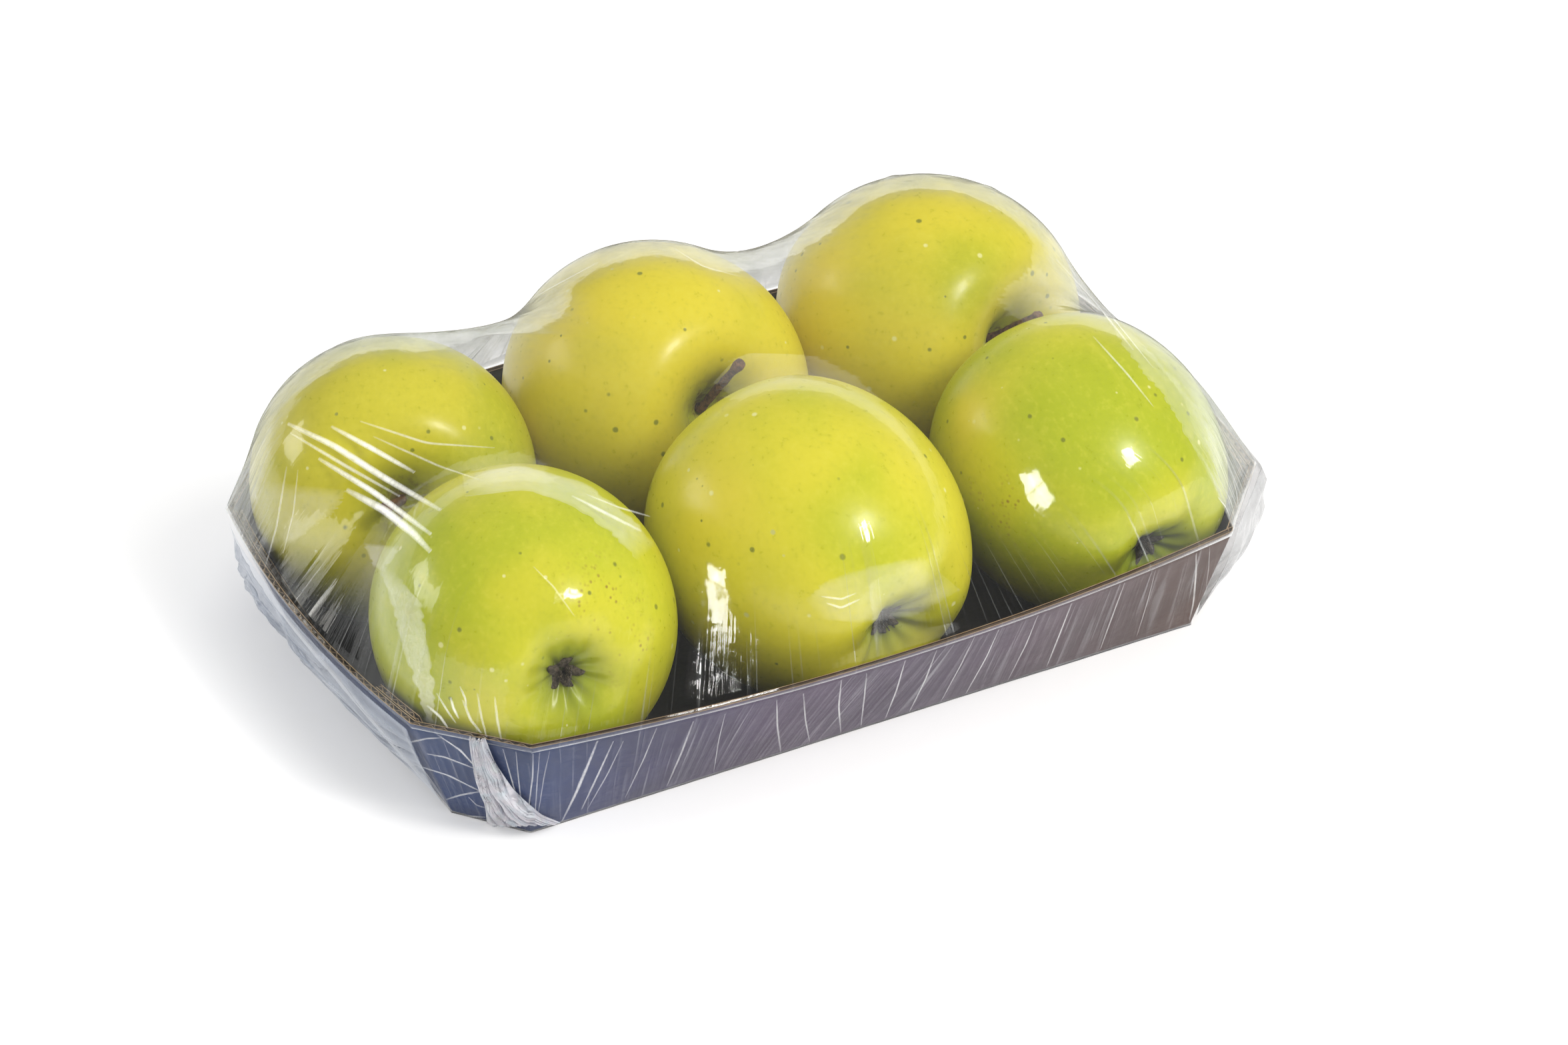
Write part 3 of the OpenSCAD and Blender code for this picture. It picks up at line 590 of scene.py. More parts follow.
def make_apple(k):
    """The skin of an apple, lobed and pleated towards its calyx."""
    rows, cols = 112, 144
    s = np.linspace(0, 1, rows + 1)[1:-1]
    t = 180 * (s - 0.035 * np.sin(4 * np.pi * s))
    ph = np.arange(cols) * 2 * math.pi / cols
    T, P = np.meshgrid(t, ph, indexing="ij")
    rng = np.random.RandomState(40 + k)
    r = skin_radius(k, T)
    turn, turn2, turn3 = rng.uniform(0, 6.28, 3)
    lobes = np.exp(-(((T - 150) / 20) ** 2)) * (0.5 - 0.5 * np.cos(5 * P + turn))
    ears = np.exp(-(((T - 30) / 18) ** 2)) * (0.5 - 0.5 * np.cos(3 * P + turn2))
    oval = np.sin(np.radians(T)) ** 2 * (0.5 - 0.5 * np.cos(2 * P + turn3))
    pleat = np.exp(-(((T - 168) / 7) ** 2)) * (0.5 - 0.5 * np.cos(10 * P + turn))
    r = r * (1 - 0.030 * lobes - 0.018 * ears - 0.006 * oval - 0.028 * pleat)
    rho, h = r * np.sin(np.radians(T)), r * np.cos(np.radians(T))
    X, Y, Z = apple_axes(k)
    side = np.cos(P)[..., None] * X + np.sin(P)[..., None] * Y
    pts = MIDDLES[k] + rho[..., None] * side + (h * LENGTHS[k])[..., None] * Z
    own = np.stack([rho * np.cos(P), rho * np.sin(P), h], -1) / RADII[k]
    ends = [MIDDLES[k] + LENGTHS[k] * skin_radius(k, 0.0) * Z,
            MIDDLES[k] - LENGTHS[k] * skin_radius(k, 180.0) * Z]
    verts = np.concatenate([pts.reshape(-1, 3), ends])
    own = np.concatenate([own.reshape(-1, 3), [[0, 0, 0.52], [0, 0, -0.66]]])
    n = rows - 1
    i, j = np.meshgrid(np.arange(n - 1), np.arange(cols), indexing="ij")
    a, b = i * cols + j, i * cols + (j + 1) % cols
    faces = np.stack([a, a + cols, b + cols, b], -1).reshape(-1, 4).tolist()
    S = n * cols
    faces += [(S, c, (c + 1) % cols) for c in range(cols)]
    faces += [(S + 1, S - cols + (c + 1) % cols, S - cols + c) for c in range(cols)]
    tree = tree_of(verts, faces)

    def marks(table):
        out = np.zeros(len(verts))
        for px, py, size in table.get(k, []):
            got = seen(tree, px, py)
            if got:
                out = np.maximum(out, np.exp(-((np.linalg.norm(verts - got[0], axis=1) / size) ** 2)))
        return out

    b = Build()
    b.add(verts, faces, 0, own=own, blush=marks(WARM_HIGHLIGHTS), russet=marks(RUSSETS))
    name = "apple_" + PLACES[k]
    b.build(name + "_skin", [skin_material(name + "_skin", *SKINS[k])], "fruit", [name], "apple_skin")


def make_stem(k, mat):
    """A woody stem that bends from the cavity and widens at its tip."""
    X, Y, Z = apple_axes(k)
    long, lean, turn = STEMS[k]
    lean, turn = math.radians(lean), math.radians(turn)
    foot = MIDDLES[k] + LENGTHS[k] * skin_radius(k, 0.0) * Z
    way = math.cos(lean) * Z + math.sin(lean) * (math.cos(turn) * X + math.sin(turn) * Y)
    p0, p1, p3 = foot - 2.8 * Z, foot + 1.5 * Z, foot + 1.2 * Z + way * long
    bend = lerp(p1, p3, 0.5) + np.array([0, 0, 0.5])
    t = np.linspace(0, 1, 15)[:, None]
    curve = (1 - t) ** 2 * p1 + 2 * t * (1 - t) * bend + t * t * p3
    path = np.concatenate([[p0], [lerp(p0, p1, 0.5)], curve])
    s = np.linspace(0, 1, len(path))
    rng = np.random.RandomState(70 + k)
    radii = 1.05 + 0.12 * rng.uniform(-1, 1, len(path)) + 0.25 * np.exp(-(((s - 0.12) / 0.08) ** 2))
    radii += 0.75 * np.clip((s - 0.82) / 0.14, 0, 1) ** 1.5
    radii[-1] *= 0.72
    b = Build()
    b.tube(path, radii, 14)
    name = "stem_" + PLACES[k]
    b.build(name + "_bark", [mat], "fruit", [name], "stem")


def make_calyx(k, mat):
    """Five dry sepals round a tuft of withered stamens."""
    X, Y, Z = apple_axes(k)
    foot = MIDDLES[k] - LENGTHS[k] * skin_radius(k, 180.0) * Z
    out = -Z
    rng = np.random.RandomState(90 + k)
    b = Build()
    turn = rng.uniform(0, 6.28)
    for i in range(5):
        a = turn + i * 2 * math.pi / 5 + rng.uniform(-0.18, 0.18)
        way = math.cos(a) * X + math.sin(a) * Y
        across = np.cross(out, way)
        long = rng.uniform(5.2, 7.2)
        curl = rng.uniform(0.7, 1.5)
        t = np.linspace(0, 1, 9)
        reach = 0.9 + long * (0.62 * t + 0.1 * np.sin(curl * 3 * t))
        lift = 0.5 + long * (0.62 * t - 0.30 * curl * t * t)
        mid = foot + reach[:, None] * way + lift[:, None] * out + (0.5 * np.sin(3 * t + i))[:, None] * across
        half = 1.35 * (1 - t) ** 0.7 + 0.12
        c = np.linspace(-1, 1, 5)
        tangent = unit(np.gradient(mid, axis=0))
        normal = unit(np.cross(across, tangent))
        cup = 0.5 * half[:, None] * (c[None] ** 2)
        grid = mid[:, None] + (half[:, None] * c)[..., None] * across + cup[..., None] * normal[:, None]
        b.slab(grid + 0.16 * normal[:, None], grid - 0.16 * normal[:, None])
    for i in range(16):
        a, q = rng.uniform(0, 6.28), rng.uniform(0.1, 1.3)
        root = foot + q * (math.cos(a) * X + math.sin(a) * Y) + 0.1 * out
        up = out * rng.uniform(2.0, 3.8)
        tip = root + up + rng.uniform(0.2, 1.4) * (math.cos(a + 0.5) * X + math.sin(a + 0.5) * Y)
        t = np.linspace(0, 1, 5)[:, None]
        bend = lerp(root, tip, t) + np.sin(math.pi * t) * rng.uniform(-0.4, 0.4, 3)
        b.tube(bend, [0.26, 0.22, 0.18, 0.16, 0.22], 5)
    name = "calyx_" + PLACES[k]
    b.build(name + "_sepals", [mat], "fruit", [name], "calyx", split=50)


# The tray
# Its faces: colours at the left, middle and right, how fibrous, and how rough
BOARD_LOOKS = [
    ("print", (0.014, 0.046, 0.160), (0.072, 0.040, 0.092), (0.098, 0.050, 0.034), 0.08, 0.42),
    # Painted shade: the inside liner is coloured near black, far darker than its brown board, for the shade
    # inside the tray
    ("inside", (0.008, 0.010, 0.015), (0.012, 0.010, 0.009), (0.022, 0.015, 0.011), 0.03, 0.45),
    ("edge", (0.42, 0.28, 0.15), (0.40, 0.25, 0.13), (0.42, 0.27, 0.15), 0.25, 0.7),
    ("core", (0.10, 0.06, 0.03), (0.10, 0.06, 0.03), (0.10, 0.06, 0.03), 0.1, 0.8),
]
LINER_THICK = 0.24
# Gaps of the glue tabs to the end wall, the base and the corner crease
TAB_GAP = 0.28
FOOT_GAP = 0.12
CREASE_GAP = 0.5
# The tabs: side, length, and whether each lies at the far end of the side
TABS = [(LEFT, 17, True), (RIGHT, 17, False), (LEFT, 20, False), (RIGHT, 20, True)]


def panel_slab(b, side, us, vs, d0, d1, mats):
    U, V = np.meshgrid(us, vs, indexing="ij")
    outer = wall_pt(side, U, V, d0 if np.ndim(d0) == 0 else d0[:, None])
    inner = wall_pt(side, U, V, d1 if np.ndim(d1) == 0 else d1[:, None])
    b.slab(outer, inner, mats)


def fluted(b, side, u0, u1, v0, d, fluted_top=True, outside=0, inside=1):
    """Corrugated board on a side: two liners and, at the rim, the wavy sheet between them."""
    length = side_length(side) * (u1 - u0)
    us = np.linspace(u0, u1, max(int(length / 6), 3))
    vs = np.linspace(v0, 1, 7)
    skin, edge, core = LINER_THICK, 2, 3
    panel_slab(b, side, us, vs, d, d + skin, (outside, core, edge))
    panel_slab(b, side, us, vs, d + WALL - skin, d + WALL, (core, inside, edge))
    if not fluted_top:
        vs = np.array([v0, 0.5, 0.985])
        panel_slab(b, side, us, vs, d + skin, d + WALL - skin, (core, core, core))
        return
    panel_slab(b, side, us, np.array([v0, 0.5, 0.86]), d + skin, d + WALL - skin, (core, core, core))
    count = max(int(round(length / FLUTE)), 2)
    uw = np.linspace(u0, u1, count * 10 + 1)
    wave = np.sin((uw - u0) / (u1 - u0) * count * 2 * math.pi)
    middle = d + WALL / 2 + wave * (WALL / 2 - skin - 0.10)
    panel_slab(b, side, uw, np.array([0.86, 0.93, 0.992]), middle - 0.09, middle + 0.09, (edge, edge, edge))


def make_tray():
    """The folded tray: walls, corners, glue tabs and base."""
    b = Build()
    for side in (FRONT, BACK):
        fluted(b, side, 0, 1, 0, 0, False)
    for side in (RIGHT, LEFT, CORNER_FR, CORNER_BR, CORNER_BL, CORNER_FL):
        fluted(b, side, 0, 1, 0, 0, True)
    foot = (BOARD + FOOT_GAP) / (RIM_Z - TRAY_Z)
    ends = side_length(LEFT)
    crease = CREASE_GAP / ends
    for side, long, at_end in TABS:
        u0, u1 = (1 - long / ends, 1 - crease) if at_end else (crease, long / ends)
        fluted(b, side, u0, u1, foot, WALL + TAB_GAP, True, 1, 1)
    o = outline(0, WALL + 0.02)
    mid = lerp(o, 0, 0.5)
    height = np.full(8, TRAY_Z + BOARD)
    top = np.stack([np.c_[o, height], np.c_[mid, height]])
    b.slab(top[::-1], (top - [0, 0, BOARD])[::-1], (1, 0, 1), wrap=True, fan=True)
    mats = [liner_material("board_" + name, *look) for name, *look in BOARD_LOOKS]
    nodes = [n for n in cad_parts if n.split("_")[0] in ("tray", "wall", "corner", "tab")]
    b.build("tray_board", mats, "tray", sorted(nodes), "board", split=35)


# The film
SIDE_COLUMNS = [112, 18, 60, 18, 112, 18, 60, 18]
RINGS = 96
# How far it stands off the board's rim and off the fruit
RIM_GAP = 0.22
FRUIT_GAP = 0.32
# Its height between the apples before it is drawn tight
START_HEIGHT = 71.5
# How thick its sheets are, over the fruit and elsewhere
OVER_THICK = 0.06
SHEET_THICK = 0.05


def columns(counts):
    side = np.concatenate([np.full(c, s) for s, c in enumerate(counts)])
    u = np.concatenate([np.arange(c) / c for c in counts])
    return side, u


def ring_points(side, u, v, d):
    """Points of the tray's outer surface at columns, for arrays of v and d alongside them."""
    out = np.zeros((len(side), 3))
    v = np.broadcast_to(np.asarray(v, float), side.shape)
    d = np.broadcast_to(np.asarray(d, float), side.shape)
    for s in range(8):
        k = side == s
        out[k] = wall_pt(s, u[k], v[k], d[k])
    return out


def solve_film(side, u):
    """The taut film over the fruit: a membrane held up by the apples and tied to the rim."""
    C = len(side)
    rim = ring_points(side, u, 1.0, -RIM_GAP)
    share = 1 - (1 - np.arange(RINGS + 1) / RINGS) ** 1.35
    x, y = share[:, None] * rim[:, 0], share[:, None] * rim[:, 1]
    held = np.max([top_over(k, x, y, FRUIT_GAP) for k in range(6)], axis=0)
    z = np.maximum(held, START_HEIGHT)
    z[-1] = RIM_Z + 0.3
    gap = np.diff(share)
    radius = np.hypot(rim[:, 0], rim[:, 1])
    arc = np.linalg.norm(np.roll(rim, -1, 0) - rim, axis=1)
    ring_w = (0.5 * (share[1:] + share[:-1]))[:, None] * arc / (gap[:, None] * radius)
    span = 0.5 * (gap[1:] + gap[:-1])
    side_w = span[:, None] * radius / (share[1:-1, None] * arc)
    wl, wr = np.roll(side_w, 1, 1), side_w
    total = ring_w[:-1] + ring_w[1:] + wl + wr
    jj, cc = np.meshgrid(np.arange(1, RINGS), np.arange(C), indexing="ij")
    turns = 600
    for _ in range(turns):
        for colour in (0, 1):
            mask = (jj + cc) % 2 == colour
            inner = z[1:-1]
            mean = (ring_w[:-1] * z[:-2] + ring_w[1:] * z[2:] + wl * np.roll(inner, 1, 1)
                    + wr * np.roll(inner, -1, 1)) / total
            new = np.maximum(held[1:-1], inner + 1.75 * (mean - inner))
            z[1:-1] = np.where(mask, new, inner)
        z[0] = max(z[1].mean(), held[0, 0])
    return x, y, z, share


def grid_normals(p, wrap=True):
    if wrap:
        du = np.roll(p, -1, 1) - np.roll(p, 1, 1)
    else:
        du = np.gradient(p, axis=1)
    dv = np.gradient(p, axis=0)
    return unit(np.cross(du, dv))


def pleat_field(n, length, rng, spacing, width, height):
    """Narrow pleats at random places along a closed line: their height at n places."""
    s = np.arange(n) * length / n
    out = np.zeros(n)
    at = 0.0
    while at < length:
        w = rng.uniform(*width)
        d = (s - at + length / 2) % length - length / 2
        out += rng.uniform(*height) * np.exp(-((d / w) ** 2))
        at += rng.uniform(*spacing)
    return out


def make_film_top(mats):
    """The film over the fruit, with its pleats at the rim and its creases."""
    side, u = columns(SIDE_COLUMNS)
    x, y, z, share = solve_film(side, u)
    C = len(side)
    rim = ring_points(side, u, 1.0, -RIM_GAP)
    perimeter = np.linalg.norm(np.roll(rim, -1, 0) - rim, axis=1).sum()
    from_rim = (1 - share)[:, None] * np.hypot(rim[:, 0], rim[:, 1])
    pleats = pleat_field(C, perimeter, np.random.RandomState(5), (5, 16), (1.2, 2.4), (0.15, 0.5))
    z = z + pleats * np.exp(-((from_rim / 10) ** 2)) * np.clip(from_rim / 2.0, 0, 1)
    top = np.stack([x, y, z], -1)[1:]
    lip = [ring_points(side, u, v, -RIM_GAP) for v in (0.98, 0.955)]
    lip[0][:, 2] = RIM_Z - 0.5
    top = np.concatenate([top, lip])
    normal = grid_normals(top)
    over_fruit = np.arange(len(top))[:, None, None] < RINGS - 2
    normal = np.where((normal[..., 2:3] < 0) & over_fruit, -normal, normal)
    depth = np.concatenate([from_rim[1:], np.zeros((2, C))])
    round_rim = np.broadcast_to(np.arange(C) * perimeter / C, depth.shape)
    force = np.exp(-((depth / 9) ** 2)) * np.clip(depth / 1.5, 0.3, 1)
    lay = np.stack([round_rim, depth, force], -1)
    b = Build()
    b.slab(top, top - OVER_THICK * normal, wrap=True, fan=True, lay=lay)
    tree = tree_of(np.concatenate(b.v), list(b.f))
    add_creases(b, tree)
    return b.build("film_top_sheet", mats, "film", ["film_top"], "film")


# Creases of the film over the fruit: points of the photograph, half width and how white; their whiteness is a
# painted glint on the raised ridge
CREASES = [
    ([(432, 636), (500, 668), (575, 716), (662, 766)], 1.0, 0.85),
    ([(436, 650), (520, 700), (600, 745)], 0.55, 0.5),
    ([(497, 640), (560, 674), (622, 709)], 0.8, 0.8),
    ([(478, 688), (560, 738), (647, 802)], 0.9, 0.85),
    ([(520, 735), (576, 765), (620, 800), (646, 828)], 1.2, 0.9),
    ([(540, 632), (640, 665), (742, 672)], 0.45, 0.4),
    ([(560, 655), (660, 700), (720, 720)], 0.4, 0.35),
    ([(858, 744), (905, 768), (962, 797)], 0.7, 0.6),
    ([(880, 742), (930, 762), (975, 775)], 0.4, 0.4),
    ([(430, 700), (415, 790), (398, 850)], 0.5, 0.35),
    ([(447, 705), (440, 770), (425, 830)], 0.35, 0.3),
    ([(1240, 905), (1262, 912), (1290, 899)], 0.4, 0.5),
    ([(1232, 895), (1262, 899), (1284, 890)], 0.35, 0.45),
    ([(1640, 505), (1690, 560), (1730, 610)], 0.4, 0.35),
    ([(1585, 390), (1640, 450), (1700, 525)], 0.5, 0.45),
    ([(1620, 420), (1680, 490), (1730, 552)], 0.35, 0.4),
    ([(760, 470), (830, 430), (900, 392)], 0.4, 0.35),
    ([(1100, 380), (1170, 352), (1235, 322)], 0.45, 0.4),
    ([(1010, 372), (1055, 400), (1110, 415)], 0.4, 0.3),
    ([(640, 1058), (660, 1075), (672, 1092)], 0.5, 0.6),
    ([(655, 1040), (672, 1068), (684, 1085)], 0.4, 0.5),
    ([(694, 1050), (706, 1080), (722, 1100)], 0.5, 0.5),
    ([(716, 1040), (722, 1075), (730, 1106)], 0.4, 0.4),
    ([(742, 1045), (746, 1080), (752, 1110)], 0.45, 0.4),
    ([(676, 1046), (680, 1062), (688, 1078)], 0.5, 0.7),
    ([(690, 1030), (698, 1048), (700, 1062)], 0.4, 0.6),
    ([(1845, 775), (1838, 760), (1826, 745)], 0.35, 0.45),
    ([(1851, 770), (1846, 752), (1838, 735)], 0.35, 0.4),
    ([(1858, 765), (1855, 740), (1848, 715)], 0.35, 0.4),
    ([(800, 850), (830, 880), (862, 925)], 0.3, 0.25),
]
# Its painted reflections, whitish patches where the film mirrors the bright surroundings: left edge, right
# edge and how white
PAINTED_REFLECTIONS = [
    ([(566, 850), (588, 905), (600, 960), (628, 1040), (640, 1085)],
     [(596, 862), (632, 905), (640, 960), (652, 1030), (650, 1088)], 0.26),
    ([(700, 745), (790, 735), (860, 759), (920, 802), (955, 840)],
     [(692, 712), (780, 697), (878, 724), (948, 777), (984, 818)], 0.2),
    ([(372, 720), (375, 760), (388, 800), (400, 830)],
     [(520, 735), (505, 765), (470, 790), (440, 815)], 0.13),
    ([(1205, 900), (1240, 870), (1300, 850), (1380, 835)],
     [(1235, 930), (1290, 935), (1370, 925), (1440, 885)], 0.1),
    ([(1660, 480), (1700, 540), (1750, 600), (1800, 690)],
     [(1700, 500), (1755, 560), (1805, 620), (1838, 700)], 0.12),
    ([(545, 815), (552, 830), (560, 850)], [(600, 820), (590, 838), (575, 858)], 0.18),
]


def along(points, n):
    """n places spread evenly along a smoothed line through points."""
    points = np.asarray(points, float)
    t = np.concatenate([[0], np.cumsum(np.linalg.norm(np.diff(points, axis=0), axis=1))])
    s = np.linspace(0, t[-1], n)
    line = np.stack([np.interp(s, t, points[:, k]) for k in range(points.shape[1])], -1)
    for _ in range(3):
        line[1:-1] = 0.25 * line[:-2] + 0.5 * line[1:-1] + 0.25 * line[2:]
    return line


def lifted(tree, line, lift):
    got = [seen(tree, px, py) for px, py in line]
    return np.array([g[0] + g[1] * lift for g in got if g]), np.array([g[1] for g in got if g])


def ridge(b, path, normal, half, tall, fade, mat):
    """A crease raised on a surface along a path, thin at its edges and ends."""
    n = len(path)
    if n < 5:
        return
    t = unit(np.gradient(path, axis=0))
    across = unit(np.cross(normal, t))
    c = np.linspace(-1, 1, 7)
    ends = np.sin(np.pi * np.linspace(0.04, 0.96, n)) ** 0.6
    width = (half * (0.35 + 0.65 * ends))[:, None] * c
    arch = (tall * ends)[:, None] * (1 - c * c)
    flat = path[:, None] + width[..., None] * across[:, None]
    outer = flat + arch[..., None] * normal[:, None]
    b.slab(outer, flat - 0.02 * normal[:, None], (mat,) * 3, fade=fade * ends[:, None] * (1 - c * c))


def add_creases(b, tree):
    """Lays the creases, whitened as painted glints, and the patches of painted reflection on the film over
    the fruit.
    """
    for line, half, fade in CREASES:
        path, normal = lifted(tree, along(line, 34), 0.05)
        ridge(b, path, normal, half * 0.95, half * 0.35, fade, 1)
    # Painted reflection: a whitish cover laid where the film mirrors the bright surroundings
    for left, right, fade in PAINTED_REFLECTIONS:
        rows, cols = 42, 22
        a, c = along(left, rows), along(right, rows)
        grid = lerp(a[:, None], c[:, None], np.linspace(0, 1, cols)[:, None])
        wave = np.random.RandomState(len(left)).uniform(-1, 1, rows)
        grid[..., 0] += (wave[:, None] * np.linspace(1, -1, cols)) * 3
        got = [[seen(tree, *p) for p in row] for row in grid]
        if any(g is None for row in got for g in row):
            continue
        at = np.array([[g[0] for g in row] for row in got])
        normal = np.array([[g[1] for g in row] for row in got])
        u, v = np.meshgrid(np.linspace(0, 1, cols), np.linspace(0, 1, rows))
        soft = np.clip(np.minimum(u, 1 - u) * 9, 0, 1) ** 0.5 * np.clip(np.minimum(v, 1 - v) * 7, 0, 1)
        b.slab(at + 0.10 * normal, at + 0.05 * normal, (1,) * 3, fade=fade * soft)


SKIRT_COUNTS = [430, 40, 70, 20, 130, 30, 190, 110]
SKIRT_ROWS = np.linspace(0.953, -0.004, 30)
# Creases of the film down the walls, as above, whitened as painted glints
WALL_CREASES = [
    ([(650, 1098), (690, 1125), (722, 1160)], 0.8, 0.75),
    ([(700, 1103), (716, 1130), (734, 1165)], 0.7, 0.75),
    ([(614, 1114), (640, 1108), (662, 1107)], 0.7, 0.5),
    ([(640, 1131), (668, 1136), (712, 1153)], 0.8, 0.6),
    ([(630, 1150), (672, 1163), (726, 1190)], 0.8, 0.6),
    ([(668, 1200), (690, 1193), (722, 1187)], 0.7, 0.5),
    ([(703, 1196), (715, 1208), (728, 1212)], 0.6, 0.4),
    ([(602, 1088), (625, 1140), (655, 1182), (676, 1216)], 1.1, 0.6),
    ([(676, 1218), (700, 1224), (728, 1226)], 0.6, 0.4),
    ([(752, 1115), (762, 1150), (776, 1200)], 0.5, 0.5),
    ([(773, 1118), (777, 1160), (783, 1215)], 0.5, 0.45),
    ([(800, 1121), (799, 1165), (792, 1220)], 0.5, 0.5),
    ([(810, 1122), (806, 1170), (802, 1230)], 0.4, 0.35),
    ([(826, 1120), (816, 1165), (806, 1228)], 0.4, 0.3),
    ([(900, 1102), (885, 1140), (864, 1190), (843, 1232)], 1.0, 0.7),
    ([(920, 1112), (898, 1160), (872, 1215)], 0.7, 0.6),
    ([(935, 1112), (912, 1160), (880, 1216)], 0.5, 0.4),
    ([(985, 1092), (965, 1140), (938, 1196)], 0.5, 0.45),
    ([(1040, 1082), (1022, 1130), (1000, 1180)], 0.6, 0.5),
    ([(1088, 1070), (1078, 1110), (1070, 1160)], 0.4, 0.4),
    ([(1165, 1050), (1166, 1090), (1172, 1135)], 0.6, 0.5),
    ([(1205, 1040), (1208, 1080), (1216, 1122)], 0.5, 0.5),
    ([(1262, 1020), (1258, 1060), (1262, 1108)], 0.6, 0.6),
    ([(1300, 1010), (1296, 1050), (1290, 1100)], 0.5, 0.5),
    ([(1358, 990), (1345, 1035), (1325, 1085)], 0.6, 0.6),
    ([(1405, 975), (1388, 1020), (1362, 1072)], 0.6, 0.55),
    ([(1462, 955), (1440, 1000), (1408, 1058)], 0.5, 0.5),
    ([(1500, 940), (1480, 985), (1448, 1042)], 0.6, 0.6),
    ([(1560, 915), (1540, 965), (1512, 1020)], 0.5, 0.5),
    ([(1612, 893), (1592, 945), (1570, 1000)], 0.6, 0.6),
    ([(1690, 866), (1672, 915), (1650, 975)], 0.5, 0.5),
    ([(1735, 848), (1722, 900), (1705, 955)], 0.4, 0.4),
    ([(1794, 826), (1794, 860), (1790, 905), (1784, 930)], 0.7, 0.6),
    ([(1815, 815), (1813, 850), (1808, 890)], 0.35, 0.3),
]


def make_film_skirt(mats):
    """The film down the outside of the walls."""
    side, u = columns(SKIRT_COUNTS)
    C = len(side)
    rim = ring_points(side, u, 1.0, 0.0)
    step = np.linalg.norm(np.roll(rim, -1, 0) - rim, axis=1)
    s = np.concatenate([[0], np.cumsum(step)[:-1]])
    lean = np.zeros(C)
    front = side == FRONT
    lean[front] = np.interp(u[front], [0, 0.15, 0.35, 0.5, 0.65, 1], [-3, 0, 8, 9, -3, -7])
    lean[~front] = 5 * np.sin(s[~front] / 31)
    rng = np.random.RandomState(8)
    total = step.sum()
    bumps = [(rng.uniform(0, total), rng.uniform(0.5, 1.3), rng.uniform(0.08, 0.4)) for _ in range(150)]
    bumps += [(rng.uniform(0, total), rng.uniform(1.5, 4.5), rng.uniform(0.1, 0.6)) for _ in range(34)]
    rows, lay = [], []
    for v in SKIRT_ROWS:
        at = s + lean * (1 - v)
        fade = math.sin(math.pi * min(max((0.97 - v) / 0.95, 0.02), 0.99)) ** 0.6
        lift = np.zeros(C)
        for place, wide, tall in bumps:
            d = (at - place + total / 2) % total - total / 2
            lift += tall * np.exp(-((d / wide) ** 2))
        rows.append(ring_points(side, u, v, -(0.16 + fade * lift)))
        lay.append(np.stack([at, np.full(C, (1 - v) * 36), np.full(C, 0.4 + 0.6 * fade)], -1))
    grid = np.array(rows)
    normal = grid_normals(grid)
    b = Build()
    b.slab(grid, grid - SHEET_THICK * normal, wrap=True, lay=np.array(lay))
    tree = tree_of(np.concatenate(b.v), list(b.f))
    for line, half, fade in WALL_CREASES:
        path, face = lifted(tree, along(line, 30), 0.06)
        ridge(b, path, face, half * 0.5, half * 0.3, fade * 0.85, 1)
    return b.build("film_skirt_sheet", mats, "tray", ["film_skirt"], "film")


# How far the bunch and the loose film start from the board
GATHER_GAP = 0.85
LOOSE_GAP = 0.9


def film_piece(name, outer, mats, node, **attrs):
    """A sheet of film on the tray from a grid of its outer points."""
    b = Build()
    b.slab(outer, outer - SHEET_THICK * grid_normals(outer, False), **attrs)
    return b.build(name, mats, "tray", [node], "film")


def noise_field(shape, cells, rng):
    """Smooth random values from -1 to 1 over a grid, with about cells bumps along each way."""
    knots = rng.uniform(-1, 1, (cells[0] + 3, cells[1] + 3))
    out = []
    for n, c in zip(shape, cells):
        x = np.linspace(0, c, n)
        i = np.minimum(x.astype(int), c)
        f = x - i
        out.append((i, f * f * (3 - 2 * f)))
    (i, fi), (j, fj) = out
    a = lerp(knots[np.ix_(i, j)], knots[np.ix_(i, j + 1)], fj[None])
    c = lerp(knots[np.ix_(i + 1, j)], knots[np.ix_(i + 1, j + 1)], fj[None])
    return lerp(a, c, fi[:, None])


